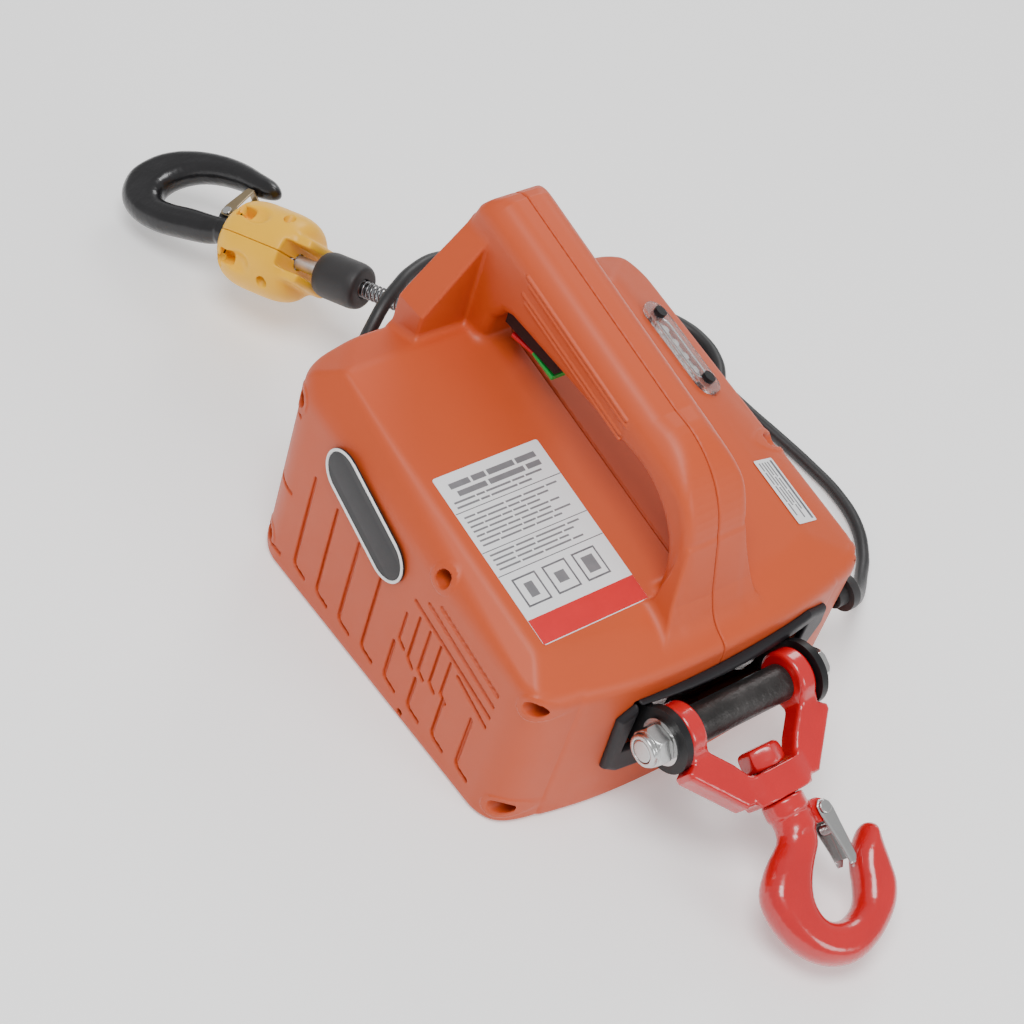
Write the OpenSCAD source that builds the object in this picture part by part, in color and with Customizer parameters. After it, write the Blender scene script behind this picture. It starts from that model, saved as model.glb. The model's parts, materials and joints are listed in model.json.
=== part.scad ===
// Portable electric wire rope hoist with a carrying handle.
// +X is the front with the swivel hook, +Z is up and the base lies on z = 0.

/* [Housing] */
// Length of the housing along X
body_l = 217; // [210:1:225]
// Width of the housing across Y
body_w = 220; // [216:1:230]
// Radius of the upright corners
corner_r = 24; // [18:1:30]
// Wall of the two shells
wall = 3; // [2.5:0.5:3.5]
// How far the bowed front stands out in the middle
front_bow = 7.5; // [4:0.5:9]
// Height of the flat deck at the middle of the body
deck_z = 119.4; // [117:0.2:122]
// Slope of the deck down to the front, height lost per length
deck_slope = 0.176; // [0.16:0.002:0.19]

/* [Handle] */
// Width of the hand grip
grip_w = 40; // [36:1:44]
// Height of the grip's upper rear corner
grip_z = 207; // [200:1:212]
// Bevel on the grip's two upper edges
grip_bevel = 8; // [4:0.5:10]

/* [Front hook] */
// Forward position of the cross bolt
bolt_x = 131.6; // [130:0.2:134]
// Height of the cross bolt
bolt_z = 68.3; // [66:0.1:70]
// Cross bolt diameter
bolt_d = 12; // [10:1:12]
// Droop of the yoke and hook below level, in degrees
yoke_droop = 25; // [20:0.5:25]
// Outer distance over the two bracket ears
ears_w = 93; // [92:0.5:94]

/* [Rope and rear hook] */
// Rope diameter
rope_d = 5; // [4:0.5:5]
// Heading of the rope line, degrees from +X
rope_yaw = 196.25; // [190:0.25:200]
// Droop of the rope line below level, in degrees
rope_droop = 15.5; // [14:0.5:16]
// Diameter of the yellow block
block_d = 50; // [46:1:50]

/* [Drum and gears] */
// Outside diameter of the rope drum's flanges
flange_d = 78; // [74:1:80]
// Barrel diameter of the rope drum
barrel_d = 55; // [53:1:56]
// Outside diameter of the motor
motor_d = 64; // [60:1:66]

/* [Power cord] */
// Diameter of the power cord
cord_d = 7.5; // [7:0.5:8]
// Radius of the coil, to its outside
coil_r = 45; // [43:1:46]
// Layers of turns in the coil
coil_layers = 3; // [2:1:3]

/* [Hidden] */
$fn = 64;

half_l = body_l / 2;
half_w = body_w / 2;
front_x = half_l + front_bow;
bow_r = 402;

orange = [0.87, 0.38, 0.18];
hook_red = [0.80, 0.05, 0.08];
block_yellow = [0.96, 0.70, 0.10];
dark = [0.13, 0.13, 0.14];
steel = [0.66, 0.67, 0.69];

function deck_at(x) = deck_z - deck_slope * x;

// A chain of points between listed ones, as a smooth curve through each of them.
function spline(p, q, r, s, t) = 0.5 * ((2 * q) + (r - p) * t + (2 * p - 5 * q + 4 * r - s) * t * t
    + (3 * q - p - 3 * r + s) * t * t * t);
function smooth(p, n) = [for (i = [0:len(p) - 2], k = [0:n - 1])
    spline(p[max(i - 1, 0)], p[i], p[i + 1], p[min(i + 2, len(p) - 1)], k / n), p[len(p) - 1]];
function unit(v) = v / norm(v);
function arc(cx, cy, r, a0, a1, n) = [for (i = [0:n])
    [cx + r * cos(a0 + (a1 - a0) * i / n), cy + r * sin(a0 + (a1 - a0) * i / n)]];

// A round tube swept along points, with flat ends.
module tube(p, d, sides) {
    n = len(p);
    dir = [for (i = [0:n - 1]) unit(p[min(i + 1, n - 1)] - p[max(i - 1, 0)])];
    ring = [for (i = [0:n - 1]) let (u = unit(cross(dir[i], [0.13, 0.07, 1])), v = cross(dir[i], u))
        for (k = [0:sides - 1]) p[i] + d / 2 * (cos(360 * k / sides) * u + sin(360 * k / sides) * v)];
    walls = [for (i = [0:n - 2], k = [0:sides - 1]) let (a = i * sides, b = (k + 1) % sides)
        [a + k, a + sides + k, a + sides + b, a + b]];
    polyhedron(ring, concat(walls, [[for (k = [0:sides - 1]) k]],
        [[for (k = [sides - 1:-1:0]) (n - 1) * sides + k]]));
}

// A cylinder along Y between two Y values, at a place in X and Z.
module bar_y(x, z, y0, y1, d) {
    translate([x, y0, z]) rotate([-90, 0, 0]) cylinder(d = d, h = y1 - y0);
}

// A plate in the XZ plane between two Y values.
module plate_y(points, y0, y1) {
    translate([0, y1, 0]) rotate([90, 0, 0]) linear_extrude(y1 - y0) polygon(points);
}

// ---------------------------------------------------------------- housing

module plan(e) {
    intersection() {
        union() {
            translate([e - half_l, corner_r - half_w])
                square([half_l + front_x - 2 * e, body_w - 2 * corner_r]);
            translate([corner_r - half_l, e - half_w])
                square([body_l - 2 * corner_r, body_w - 2 * e]);
            for (x = [-1, 1], y = [-1, 1])
                translate([x * (half_l - corner_r), y * (half_w - corner_r)]) circle(r = corner_r - e);
        }
        translate([front_x - bow_r, 0]) circle(r = bow_r - e, $fn = 200);
    }
}

// The roof: a sloping flat deck with slopes all round it, wider on the far side.
roof = [[-84, -96, deck_at(-84)], [-84, 75, deck_at(-84)], [90, 60, deck_at(90)],
    [90, -60, deck_at(90)], [82, -96, deck_at(82)], [84, 75, deck_at(84)],
    [-109, -110, 115.4], [-109, -72, 127], [-109, 72, 127], [-109, 110, 120],
    [109, -110, 91.2], [116, -40, 91.5], [116, 40, 91.5], [109, 110, 89],
    [-130, -116, -1], [-130, 116, -1], [130, -116, -1], [130, 116, -1]];

module roof_block() {
    hull() polyhedron(roof, [[for (i = [0:len(roof) - 1]) i]]);
}

module body_block(e) {
    intersection() {
        translate([0, 0, e]) linear_extrude(160) plan(e);
        translate([0, 0, -1.05 * e]) roof_block();
    }
}

handle_out = concat([[-108, 95], [-108, 150], [-105, 190], [-99, grip_z - 4], [-90, grip_z],
    [36, 180]], arc(36, 130, 50, 80, 12, 8), [[94, 112], [104, 92], [106, 78]]);
handle_hole = concat([[-75, 90], [-75, 135], [-72, 150], [-66, 159], [-60, 161], [34, 158]],
    arc(34, 116, 42, 80, 0, 8), [[77, 90]]);

module handle_ring() {
    difference() {
        polygon(handle_out);
        polygon(handle_hole);
    }
}

grip_slope = atan2(grip_z - 180, 126);
module grip_bevels(e) {
    cut = 2 * (grip_bevel - 0.41 * e) * cos(45);
    for (s = [-1, 1]) translate([-90, s * (grip_w / 2 - e), grip_z - e]) rotate([0, grip_slope, 0])
        rotate([45, 0, 0]) cube([300, cut, cut], center = true);
}

module handle(e) {
    difference() {
        translate([0, grip_w / 2 - e, 0]) rotate([90, 0, 0]) linear_extrude(grip_w - 2 * e)
            offset(delta = -e) handle_ring();
        grip_bevels(e);
    }
    // the flared gussets at the feet of the handle
    intersection() {
        translate([-108 + e, 0, 0]) rotate([90, 0, 90]) linear_extrude(20 - 2 * e)
            polygon([[-52 + e, 100], [-50 + e, 147 - e], [-17, 190 - e], [17, 190 - e],
                [50 - e, 147 - e], [52 - e, 100]]);
        translate([0, 60, 0]) rotate([90, 0, 0]) linear_extrude(120)
            offset(delta = -e) polygon(handle_out);
    }
    intersection() {
        translate([82 + e, 0, 0]) rotate([90, 0, 90]) linear_extrude(24 - 2 * e)
            polygon([[-36 + e, 80], [-18, 140 - e], [18, 140 - e], [36 - e, 80]]);
        translate([0, 60, 0]) rotate([90, 0, 0]) linear_extrude(120)
            offset(delta = -e) polygon(handle_out);
    }
}

// Screw places in X and Z, and the depth of each near-side counterbore.
shell_screws = [[25, 103], [98, 88], [-96, 12], [99, 12], [-97, 108]];

module bosses(side) {
    for (p = shell_screws) {
        if (side < 0) bar_y(p[0], p[1], 1 - half_w, 0, 14);
        else bar_y(p[0], p[1], 0, half_w - 1, 14);
    }
}

module shell(side) {
    difference() {
        union() {
            difference() {
                union() { body_block(0); handle(0); }
                body_block(wall);
                handle(wall);
            }
            intersection() { body_block(0); bosses(side); }
        }
        translate([-200, side > 0 ? -200 : 0, -10]) cube([400, 200, 300]);
        for (p = shell_screws) {
            if (side < 0) {
                bar_y(p[0], p[1], -half_w - 2, -10, 9);
                bar_y(p[0], p[1], -11, 1, 4.6);
            } else {
                bar_y(p[0], p[1], -1, 20, 3.6);
            }
        }
        // the openings: hook bracket, rope outlet, lamp, rocker switch and cord gland
        translate([100, -52, 44]) cube([20, 112, 35]);
        translate([out_x - 10, guide_y, guide_z]) rotate([0, 90, 0]) cylinder(d = 26.4, h = 24);
        lamp_place() translate([0, 0, -5]) linear_extrude(10) stadium(30, 10);
        lamp_place() linear_extrude(6) stadium(44, 17.6);
        for (x = [-22, 22]) lamp_place() translate([x, 0, -4]) cylinder(d = 3.3, h = 5);
        translate([-68, -14, 148]) cube([40, 28, 17]);
        bar_y(gland_x, gland_z, 100, 116, 13);
        side_grooves(side);
        if (side > 0) for (p = shell_screws) bar_y(p[0], p[1], half_w - 11, half_w + 2, 9);
    }
}

// The moulded grooves of the near side, an upright leg with a short foot each.
groove = 2.4;
tall_legs = [[-70, 12, 77], [-50, 14, 74], [-30, 13, 69], [-10, 12, 65], [9, 13, 40],
    [50, 14, 40], [70, 14, 48]];
module side_grooves(side) {
    if (side < 0) for (g = tall_legs) {
        translate([g[0], -half_w - 1, g[1]]) cube([groove, 2.2, g[2] - g[1]]);
        translate([g[0], -half_w - 1, g[1]]) rotate([0, 35, 0]) cube([groove + 8, 2.2, groove]);
    }
}

module stadium(l, d) {
    translate([-l / 2, 0]) circle(d = d);
    translate([l / 2, 0]) circle(d = d);
    translate([-l / 2, -d / 2]) square([l, d]);
}

module housing_near() color(orange) shell(-1);
module housing_far() color(orange) shell(1);

module housing_screws() {
    color(steel) for (p = shell_screws) {
        bar_y(p[0], p[1], -13.4, -10, 8);
        bar_y(p[0], p[1], -10.5, 19, 3.6);
    }
}

// ---------------------------------------------------------------- badge, labels and lamp

badge_l = 46;
module badge_place() {
    translate([-31, -half_w, 91.5]) rotate([90, 0, 0]) rotate([0, 0, -21.5]) children();
}

module name_badge() {
    color(dark) badge_place() linear_extrude(1.2) stadium(badge_l, 26);
    color("white") badge_place() linear_extrude(1.8) difference() {
        stadium(badge_l, 26);
        stadium(badge_l, 22);
    }
}

deck_angle = atan(deck_slope);
module deck_place(x, y) {
    translate([x, y, deck_at(x)]) rotate([0, deck_angle, 0]) children();
}

module safety_label() {
    color("white") deck_place(32, -58) translate([-48.5, -32, 0]) cube([97, 64, 0.3]);
}

// The slope beside the deck on the far side.
module far_place(x, y, fall) {
    translate([x, y, deck_at(x) - (y - 75) * fall]) rotate([0, deck_angle, 0])
        rotate([-atan(fall), 0, 0]) children();
}

module rating_label() {
    color("white") far_place(57, 84, 0.32) translate([-20, -8, 0.1]) cube([40, 16, 0.3]);
}

module lamp_place() {
    far_place(-35, 84.5, 0.36) children();
}

module lamp_lens() {
    color([0.9, 0.9, 0.9, 0.4]) lamp_place() difference() {
        translate([0, 0, 0.1]) linear_extrude(2.4) stadium(44, 17);
        translate([0, 0, -1]) linear_extrude(2) stadium(30, 9);
        for (x = [-22, 22]) translate([x, 0, -1]) cylinder(d = 3.4, h = 4);
    }
}

module lamp_screws() {
    color(dark) lamp_place() for (x = [-22, 22]) {
        translate([x, 0, 2.5]) cylinder(d = 7, h = 2.4);
        translate([x, 0, -0.5]) cylinder(d = 3.3, h = 3.2);
    }
}

module lamp_board() {
    color([0.45, 0.45, 0.48]) lamp_place() translate([0, 0, -4]) linear_extrude(1.5) stadium(32, 8);
    color("white") lamp_place() for (x = [-13.5, -4.5, 4.5, 13.5])
        translate([x, 0, -2.6]) cylinder(d = 5, h = 2);
}

// ---------------------------------------------------------------- front bracket and hook

bezel_out = [[-58, 32], [-50, 27], [56, 27], [78, 68], [76, 80], [60, 86], [0, 82], [-50, 80],
    [-60, 70]];
module front_bezel() {
    color(dark) intersection() {
        difference() {
            translate([95, 0, 0]) rotate([90, 0, 90]) linear_extrude(30) polygon(bezel_out);
            translate([94, -51, 45]) cube([32, 110, 33.5]);
            translate([0, 0, 10]) linear_extrude(120) plan(-0.05);
        }
        translate([front_x + 4 - bow_r, 0, 0]) cylinder(r = bow_r, h = 120, $fn = 200);
    }
}

ear_t = 4;
ear_r = 17;
module hook_bracket() {
    color(dark) difference() {
        union() {
            for (s = [-1, 1]) {
                y0 = s > 0 ? ears_w / 2 - ear_t : -ears_w / 2;
                translate([0, y0 + ear_t, 0]) rotate([90, 0, 0]) linear_extrude(ear_t) {
                    translate([bolt_x, bolt_z]) circle(r = ear_r);
                    polygon([[102, 47], [102, 75], [117, 76.5], [bolt_x, bolt_z + ear_r],
                        [bolt_x + 8, bolt_z], [bolt_x, bolt_z - ear_r]]);
                }
            }
            translate([102, -46.5, 46]) cube([3, 93, 30]);
        }
        bar_y(bolt_x, bolt_z, -60, 60, bolt_d + 0.1);
        for (y = [-30, 30]) translate([100, y, 61]) rotate([0, 90, 0]) cylinder(d = 8.2, h = 8);
    }
}

module bracket_bolts() {
    color(steel) for (y = [-30, 30]) translate([97.4, y, 61]) rotate([0, 90, 0]) {
        cylinder(d = 8, h = 8);
        translate([0, 0, 7.6]) cylinder(d = 15, h = 5, $fn = 6);
    }
}

module cross_bolt() {
    color(steel) {
        bar_y(bolt_x, bolt_z, -60, 48.3, bolt_d);
        translate([bolt_x, 48.3, bolt_z]) rotate([-90, 0, 0]) cylinder(d = 21, h = 7.5, $fn = 6);
    }
}

module lock_nut() {
    color(steel) difference() {
        translate([bolt_x, -60, bolt_z]) rotate([-90, 0, 0]) union() {
            translate([0, 0, 3]) cylinder(d = 21.6, h = 8.7, $fn = 6);
            cylinder(d = 17, h = 4);
        }
        bar_y(bolt_x, bolt_z, -61, -40, bolt_d);
    }
}

module bolt_washers() {
    color(steel) for (y = [-48.3, 46.5]) difference() {
        bar_y(bolt_x, bolt_z, y, y + 1.8, 24);
        bar_y(bolt_x, bolt_z, y - 1, y + 3, bolt_d);
    }
}

module spacer_tube() {
    color([0.25, 0.25, 0.26]) difference() {
        bar_y(bolt_x, bolt_z, -30.6, 30.6, 19);
        bar_y(bolt_x, bolt_z, -31, 31, bolt_d);
    }
}

// The yoke's own frame: +X away from the bolt, tilted down by the droop.
module yoke_place() {
    translate([bolt_x, 0, bolt_z]) rotate([0, yoke_droop, 0]) children();
}

yoke_arm = 14;
module front_yoke() {
    color(hook_red) yoke_place() difference() {
        union() {
            for (s = [-1, 1]) {
                bar_y(0, 0, s * 36 - 5, s * 36 + 5, 30);
                translate([0, 0, -yoke_arm / 2]) linear_extrude(yoke_arm)
                    polygon([[0, s * 31], [0, s * 41], [18, s * 41.5], [19, s * 46], [22, s * 45.5],
                        [46, s * 24], [46, s * 8], [32, s * 15], [13, s * 30.5]]);
            }
            translate([34, -17, -10]) cube([15, 34, 20]);
        }
        translate([0, 60, 0]) rotate([90, 0, 0]) cylinder(d = bolt_d + 0.1, h = 120);
        translate([20, 0, 0]) rotate([0, 90, 0]) cylinder(d = 14.1, h = 40);
    }
}

// Hook outline: the shank side, round the bowl, and back up to the tip.
front_hook_outline = smooth([[56, -9.6], [65, -10.4], [74, -24], [84, -34], [96, -36.5], [110, -33.5],
    [122, -26], [130, -15], [133, -2], [129.5, 13.5], [121, 28.5], [111, 36.5], [101, 39],
    [91, 40.5], [82, 42], [78.5, 38], [81, 32], [87, 25], [94, 20.5], [102, 17], [109, 12],
    [112.5, 3], [111.5, -5], [107, -10.5], [99, -11.5], [91, -8], [83, -1.5], [76, 5.5],
    [67, 9], [56, 9.6]], 2);

module front_hook() {
    color(hook_red) yoke_place() difference() {
        union() {
            translate([0, 0, -10]) linear_extrude(20) polygon(front_hook_outline);
            translate([62, 14, -4.5]) cylinder(d = 12, h = 9);
            translate([26, 0, 0]) rotate([0, 90, 0]) cylinder(d = 14, h = 30);
            translate([49.4, 0, 0]) rotate([0, 90, 0]) cylinder(d = 22, h = 9);
        }
        translate([62, 16, -20]) cylinder(d = 4.1, h = 40);
    }
}

module front_hook_nut() {
    color(hook_red) yoke_place() difference() {
        translate([22.5, 0, 0]) rotate([0, 90, 0]) cylinder(d = 22, h = 11.2);
        translate([25.9, 0, 0]) rotate([0, 90, 0]) cylinder(d = 14, h = 10);
    }
}

// The latch: two side cheeks and a tongue that closes the mouth of the hook.
module front_latch() {
    color(steel) yoke_place() difference() {
        union() {
            for (z = [-6.3, 5.1]) translate([0, 0, z]) linear_extrude(1.2)
                polygon([[58, 13], [59, 20], [64, 21.5], [89, 21.5], [92.5, 19], [92, 14], [66, 12]]);
            translate([68, 20.3, -6.3]) cube([21, 1.2, 12.6]);
        }
        translate([62, 16, -20]) cylinder(d = 4, h = 40);
    }
}

module front_latch_pin() {
    color(steel) yoke_place() {
        translate([62, 16, -7.5]) cylinder(d = 4, h = 15);
        for (z = [-8, 7]) translate([62, 16, z]) cylinder(d = 6.5, h = 1);
    }
}

module front_latch_spring() {
    color(steel) yoke_place() translate([72.6, 17.2, -4]) difference() {
        cylinder(d = 6, h = 8);
        translate([0, 0, -1]) cylinder(d = 4, h = 10);
    }
}

// ---------------------------------------------------------------- rope outlet and rear hook

out_x = -109;
out_y = 24;
out_z = 86;
guide_y = 21;
guide_z = 83;
// The rope line's own frame: +X out along the rope, from the outlet.
module rope_out() {
    translate([out_x, out_y, out_z]) rotate([0, rope_droop, rope_yaw]) children();
}

module along(s) {
    rope_out() translate([s, 0, 0]) rotate([0, 90, 0]) children();
}

module guide_ring(x, d, h) {
    translate([out_x + x, guide_y, guide_z]) rotate([0, 90, 0]) cylinder(d = d, h = h);
}

module limit_pins(d) {
    for (y = [-10.5, 10.5]) translate([out_x - 8.5, guide_y + y, guide_z]) rotate([0, 90, 0])
        cylinder(d = d, h = 24);
}

module rope_guide() {
    color(dark) difference() {
        union() {
            guide_ring(-3, 34, 3);
            guide_ring(-3, 26, 12);
        }
        guide_ring(-8, 12, 24);
        limit_pins(3.4);
    }
}

// The plate round the rope that the spring pushes in, to stop the motor.
module limit_plate() {
    color(steel) difference() {
        union() {
            guide_ring(-9.2, 26, 2);
            limit_pins(3.3);
        }
        guide_ring(-12, 8.5, 6);
    }
}

module limit_switch() {
    color(dark) translate([out_x + 19.5, guide_y + 5, guide_z - 10]) cube([12, 10, 20]);
}

// The rope runs straight out of the guide, turns at a bend and leads on to the block.
bend_s = 16;
module rope_run() {
    color(steel) guide_ring(-9.4, rope_d, 80);
}

module rope_bend() {
    color(steel) along(bend_s - 4.8) {
        cylinder(d = rope_d, h = 2.2);
        translate([0, 0, 2.2]) cylinder(d1 = rope_d, d2 = 0.6, h = 2.4);
    }
}

module rope_lead() {
    color(steel) along(bend_s) {
        cylinder(d1 = 0.6, d2 = rope_d, h = 2.4);
        translate([0, 0, 2.4]) cylinder(d = rope_d, h = 109.6);
    }
    // the rope end is doubled back and bound inside the block's slot
    color(steel) along(110.4) cylinder(d = 8.4, h = 17.2);
}

module rope_ferrule() {
    color(steel) along(128.2) difference() {
        cylinder(d = 14, h = 22);
        translate([0, 0, -1]) cylinder(d = 5.2, h = 4);
    }
}

module rubber_bumper() {
    color(dark) along(82) difference() {
        cylinder(d = 26, h = 28);
        translate([0, 0, -1]) cylinder(d = 5.4, h = 40);
        translate([0, 0, -1]) cylinder(d = 10.4, h = 6);
    }
}

module limit_spring() {
    color(steel) along(23) difference() {
        cylinder(d = 9.8, h = 63.8);
        translate([0, 0, -1]) cylinder(d = 6, h = 70);
    }
}

// The block hangs on the rope with its slot turned up and to the near side.
block_roll = -46;
module block_place() {
    rope_out() rotate([block_roll, 0, 0]) children();
}
module block_body() {
    difference() {
        union() {
            intersection() {
                along(120) cylinder(d = block_d, h = 52);
                along(146) sphere(d = 62, $fn = 48);
            }
            block_place() translate([112.5, -13, -13]) cube([13, 26, 26]);
        }
        // room for the ferrule and the swivel, and the slot that shows the rope
        along(127.8) cylinder(d = 18, h = 23);
        along(150) cylinder(d = 26.6, h = 12.6);
        along(110) cylinder(d = 9, h = 30);
        along(160) cylinder(d = 16.6, h = 30);
        block_place() translate([105, -8, -40]) cube([22, 16, 80]);
        for (a = [-35, 35, 145, 215]) block_place() rotate([a, 0, 0]) translate([155, -4, 14])
            cube([9, 8, 20]);
    }
}

module block_half(side) {
    color(block_yellow) difference() {
        block_body();
        block_place() translate([60, side > 0 ? -80 : 0, -80]) cube([160, 80, 160]);
        block_screw_holes();
    }
}
module block_screw_holes() {
    for (s = [134, 166], z = [-15, 15]) block_place() translate([s, 25, z]) rotate([90, 0, 0])
        cylinder(d = 3.2, h = 50);
}
module block_near() block_half(1);
module block_far() block_half(-1);

module block_screws() {
    color(dark) for (s = [134, 166], z = [-15, 15]) block_place() translate([s, 12, z])
        rotate([90, 0, 0]) cylinder(d = 3.2, h = 24);
}

// The turning piece inside the block: it holds the ferrule and the hook's shank.
module block_swivel() {
    color(steel) difference() {
        along(150.3) cylinder(d = 26, h = 12);
        along(149) cylinder(d = 12.1, h = 20);
    }
}

rear_roll = 158.75;
module rear_place() {
    rope_out() rotate([rear_roll, 0, 0]) children();
}

rear_hook_outline = smooth([[180, -6], [190, -10], [206, -13], [222, -15], [238, -13.5], [250, -8],
    [257, 1], [259, 13], [253, 26], [243, 35], [230, 41], [214, 44.5], [198, 45], [184, 43],
    [173, 41], [167, 36.5], [170, 32], [180, 30], [194, 30], [208, 28.5], [220, 24.5],
    [229, 17], [232, 9], [228, 3.5], [218, 3], [205, 5], [192, 6], [180, 7]], 2);

module rear_hook() {
    color(dark) rear_place() difference() {
        union() {
            translate([0, 0, -8.5]) linear_extrude(17) polygon(rear_hook_outline);
            translate([152, 0, 0]) rotate([0, 90, 0]) cylinder(d = 12, h = 34);
            translate([172.6, 0, 0]) rotate([0, 90, 0]) cylinder(d = 15, h = 9);
            translate([184, 9, -4]) cylinder(d = 11, h = 8);
        }
        translate([184, 10, -20]) cylinder(d = 3.6, h = 40);
    }
}

module rear_latch() {
    color([0.45, 0.38, 0.28]) rear_place() difference() {
        union() {
            for (z = [-5.6, 4.6]) translate([0, 0, z]) linear_extrude(1)
                polygon([[180, 8], [181, 15], [179, 29], [184, 29], [188, 14], [188, 8]]);
            translate([179, 28, -5.6]) cube([5, 1.2, 11.2]);
        }
        translate([184, 10, -20]) cylinder(d = 3.5, h = 40);
    }
}

module rear_latch_pin() {
    color(steel) rear_place() translate([184, 10, -7]) cylinder(d = 3.5, h = 14);
}

// ---------------------------------------------------------------- drum, gears and motor

drum_x = -33;
layer_r = barrel_d / 2 + rope_d / 2 + 0.05;
layer_step = 4.65;
drum_z = guide_z - layer_r - layer_step;
drum_y0 = 10;
drum_y1 = 70;
mid_y0 = -14;
low_x = drum_x + 52;
low_z = drum_z;
high_way = 9;
high_x = low_x + 43.75 * cos(high_way);
high_z = low_z + 43.75 * sin(high_way);
motor_way = 202;
motor_x = high_x + 36 * cos(motor_way);
motor_z = high_z + 36 * sin(motor_way);

// Involute-like gear outline with straight flanks, thinned for backlash.
module gear(m, z, thick, turn) {
    r = m * z / 2;
    step = 360 / z;
    rotate([0, 0, turn]) linear_extrude(thick) polygon([for (i = [0:z - 1])
        for (c = [[-0.265, -1.2], [-0.215, -0.1], [-0.10, 0.92], [0.10, 0.92], [0.215, -0.1],
            [0.265, -1.2]]) let (rr = r + c[1] * m, a = (i + c[0]) * step)
            [rr * cos(a), rr * sin(a)]]);
}

// How far a gear b is turned to mesh with gear a, seen in the direction from a to b.
function mesh(way, teeth_a, turn_a, teeth_b) =
    way + 180 + 360 / teeth_b * (0.5 + (way - turn_a) * teeth_a / 360);

module gear_y(x, z, y, m, teeth, thick, turn) {
    translate([x, y + thick, z]) rotate([90, 0, 0]) gear(m, teeth, thick, turn);
}

module rope_drum() {
    color(steel) difference() {
        union() {
            bar_y(drum_x, drum_z, drum_y0, drum_y1, barrel_d);
            bar_y(drum_x, drum_z, drum_y0, drum_y0 + 4, flange_d);
            bar_y(drum_x, drum_z, drum_y1 - 4, drum_y1, flange_d);
        }
        bar_y(drum_x, drum_z, 0, 80, 16);
        for (s = [0:60:300]) translate([drum_x, 0, drum_z]) rotate([0, s, 0])
            bar_y(33, 0, drum_y1 - 5, drum_y1 + 1, 7);
    }
}

// The wound rope, a row of rings with a second layer begun.
module drum_rope() {
    color(steel) translate([drum_x, 0, drum_z]) rotate([-90, 0, 0]) {
        for (k = [0:8]) translate([0, 0, guide_y + (k - 0.5) * lay]) ring_rope(layer_r);
        for (k = [1:2]) translate([0, 0, guide_y + k * lay]) ring_rope(layer_r + layer_step);
    }
}
lay = 5.6;
module ring_rope(r) {
    rotate_extrude() translate([r, 0]) circle(d = rope_d, $fn = 20);
}

module drum_shaft() {
    color(steel) bar_y(drum_x, drum_z, mid_y0, 80, 16);
}

module drum_bearings() {
    color([0.75, 0.76, 0.78]) for (y = [2.2, 74.2]) difference() {
        bar_y(drum_x, drum_z, y, y + 5.6, 28);
        bar_y(drum_x, drum_z, y - 1, y + 8, 16.1);
    }
}

case_outline = [[-80, 3.2], [72, 3.2], [97, 34], [97, 76], [82, 92], [-80, 93]];
case_inner = [[-77.5, 5.2], [71, 5.2], [94.8, 35], [94.8, 75], [81, 90], [-77.5, 91]];
rod_places = [[-73, 10], [-73, 72], [60, 9.5], [14, 85]];

gear_axes = [[low_x, low_z], [high_x, high_z]];
module gearbox_case() {
    color(steel) difference() {
        union() {
            difference() {
                plate_y(case_outline, -32, 1);
                plate_y(case_inner, -29, 2);
            }
            for (p = gear_axes) bar_y(p[0], p[1], -30, -27, 16);
        }
        bar_y(motor_x, motor_z, -40, -20, 12);
        for (p = gear_axes) bar_y(p[0], p[1], -30, -26, 8.1);
    }
}

module gearbox_cover() {
    color([0.35, 0.36, 0.38]) difference() {
        plate_y(case_outline, 1, 9);
        plate_y(case_inner, 0, 2);
        bar_y(drum_x, drum_z, 0, 7.8, 28);
        bar_y(drum_x, drum_z, 0, 12, 18);
        for (p = gear_axes) bar_y(p[0], p[1], 0, 7, 8.1);
        for (p = rod_places) bar_y(p[0], p[1], 0, 12, 6);
    }
}

module frame_plate() {
    color([0.35, 0.36, 0.38]) difference() {
        plate_y(case_outline, 74.2, 79.8);
        bar_y(drum_x, drum_z, 70, 85, 28);
        for (p = rod_places) bar_y(p[0], p[1], 70, 85, 6);
        plate_y([[30, 20], [66, 20], [80, 40], [76, 76], [30, 76]], 70, 85);
    }
}

// The beam that carries the hook bracket's pull to the two side plates.
module frame_beam() {
    color(steel) difference() {
        translate([97.2, -32, 44]) cube([4.6, 111.8, 32]);
        for (y = [-30, 30]) translate([90, y, 61]) rotate([0, 90, 0]) cylinder(d = 8, h = 20);
    }
}

module frame_rods() {
    color(steel) for (p = rod_places) bar_y(p[0], p[1], 2.5, 83, 6);
}

module drum_gear() {
    color(steel) difference() {
        gear_y(drum_x, drum_z, -9, 2, 40, 8, 0);
        bar_y(drum_x, drum_z, -10, 0, 16);
    }
}

module gear_shaft_low() {
    color(steel) {
        gear_y(low_x, low_z, -10, 2, 12, 10, mesh(0, 40, 0, 12));
        gear_y(low_x, low_z, -18, 1.25, 56, 6, 0);
        bar_y(low_x, low_z, -28.6, 6.5, 8);
    }
}

module gear_shaft_high() {
    color(steel) {
        gear_y(high_x, high_z, -19, 1.25, 14, 8, mesh(high_way, 56, 0, 14));
        gear_y(high_x, high_z, -26, 1, 60, 5, 0);
        bar_y(high_x, high_z, -28.6, 6.5, 8);
    }
}

module motor_can() {
    color([0.3, 0.31, 0.33]) difference() {
        bar_y(motor_x, motor_z, -100, -32, motor_d);
        bar_y(motor_x, motor_z, -97, -35, motor_d - 6);
        bar_y(motor_x, motor_z, -36, -31, 8.1);
        bar_y(motor_x, motor_z, -98.5, -96, 8.1);
        for (a = [0:45:315]) translate([motor_x, 0, motor_z]) rotate([0, a, 0])
            bar_y(20, 0, -102, -96, 8);
    }
}

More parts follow.
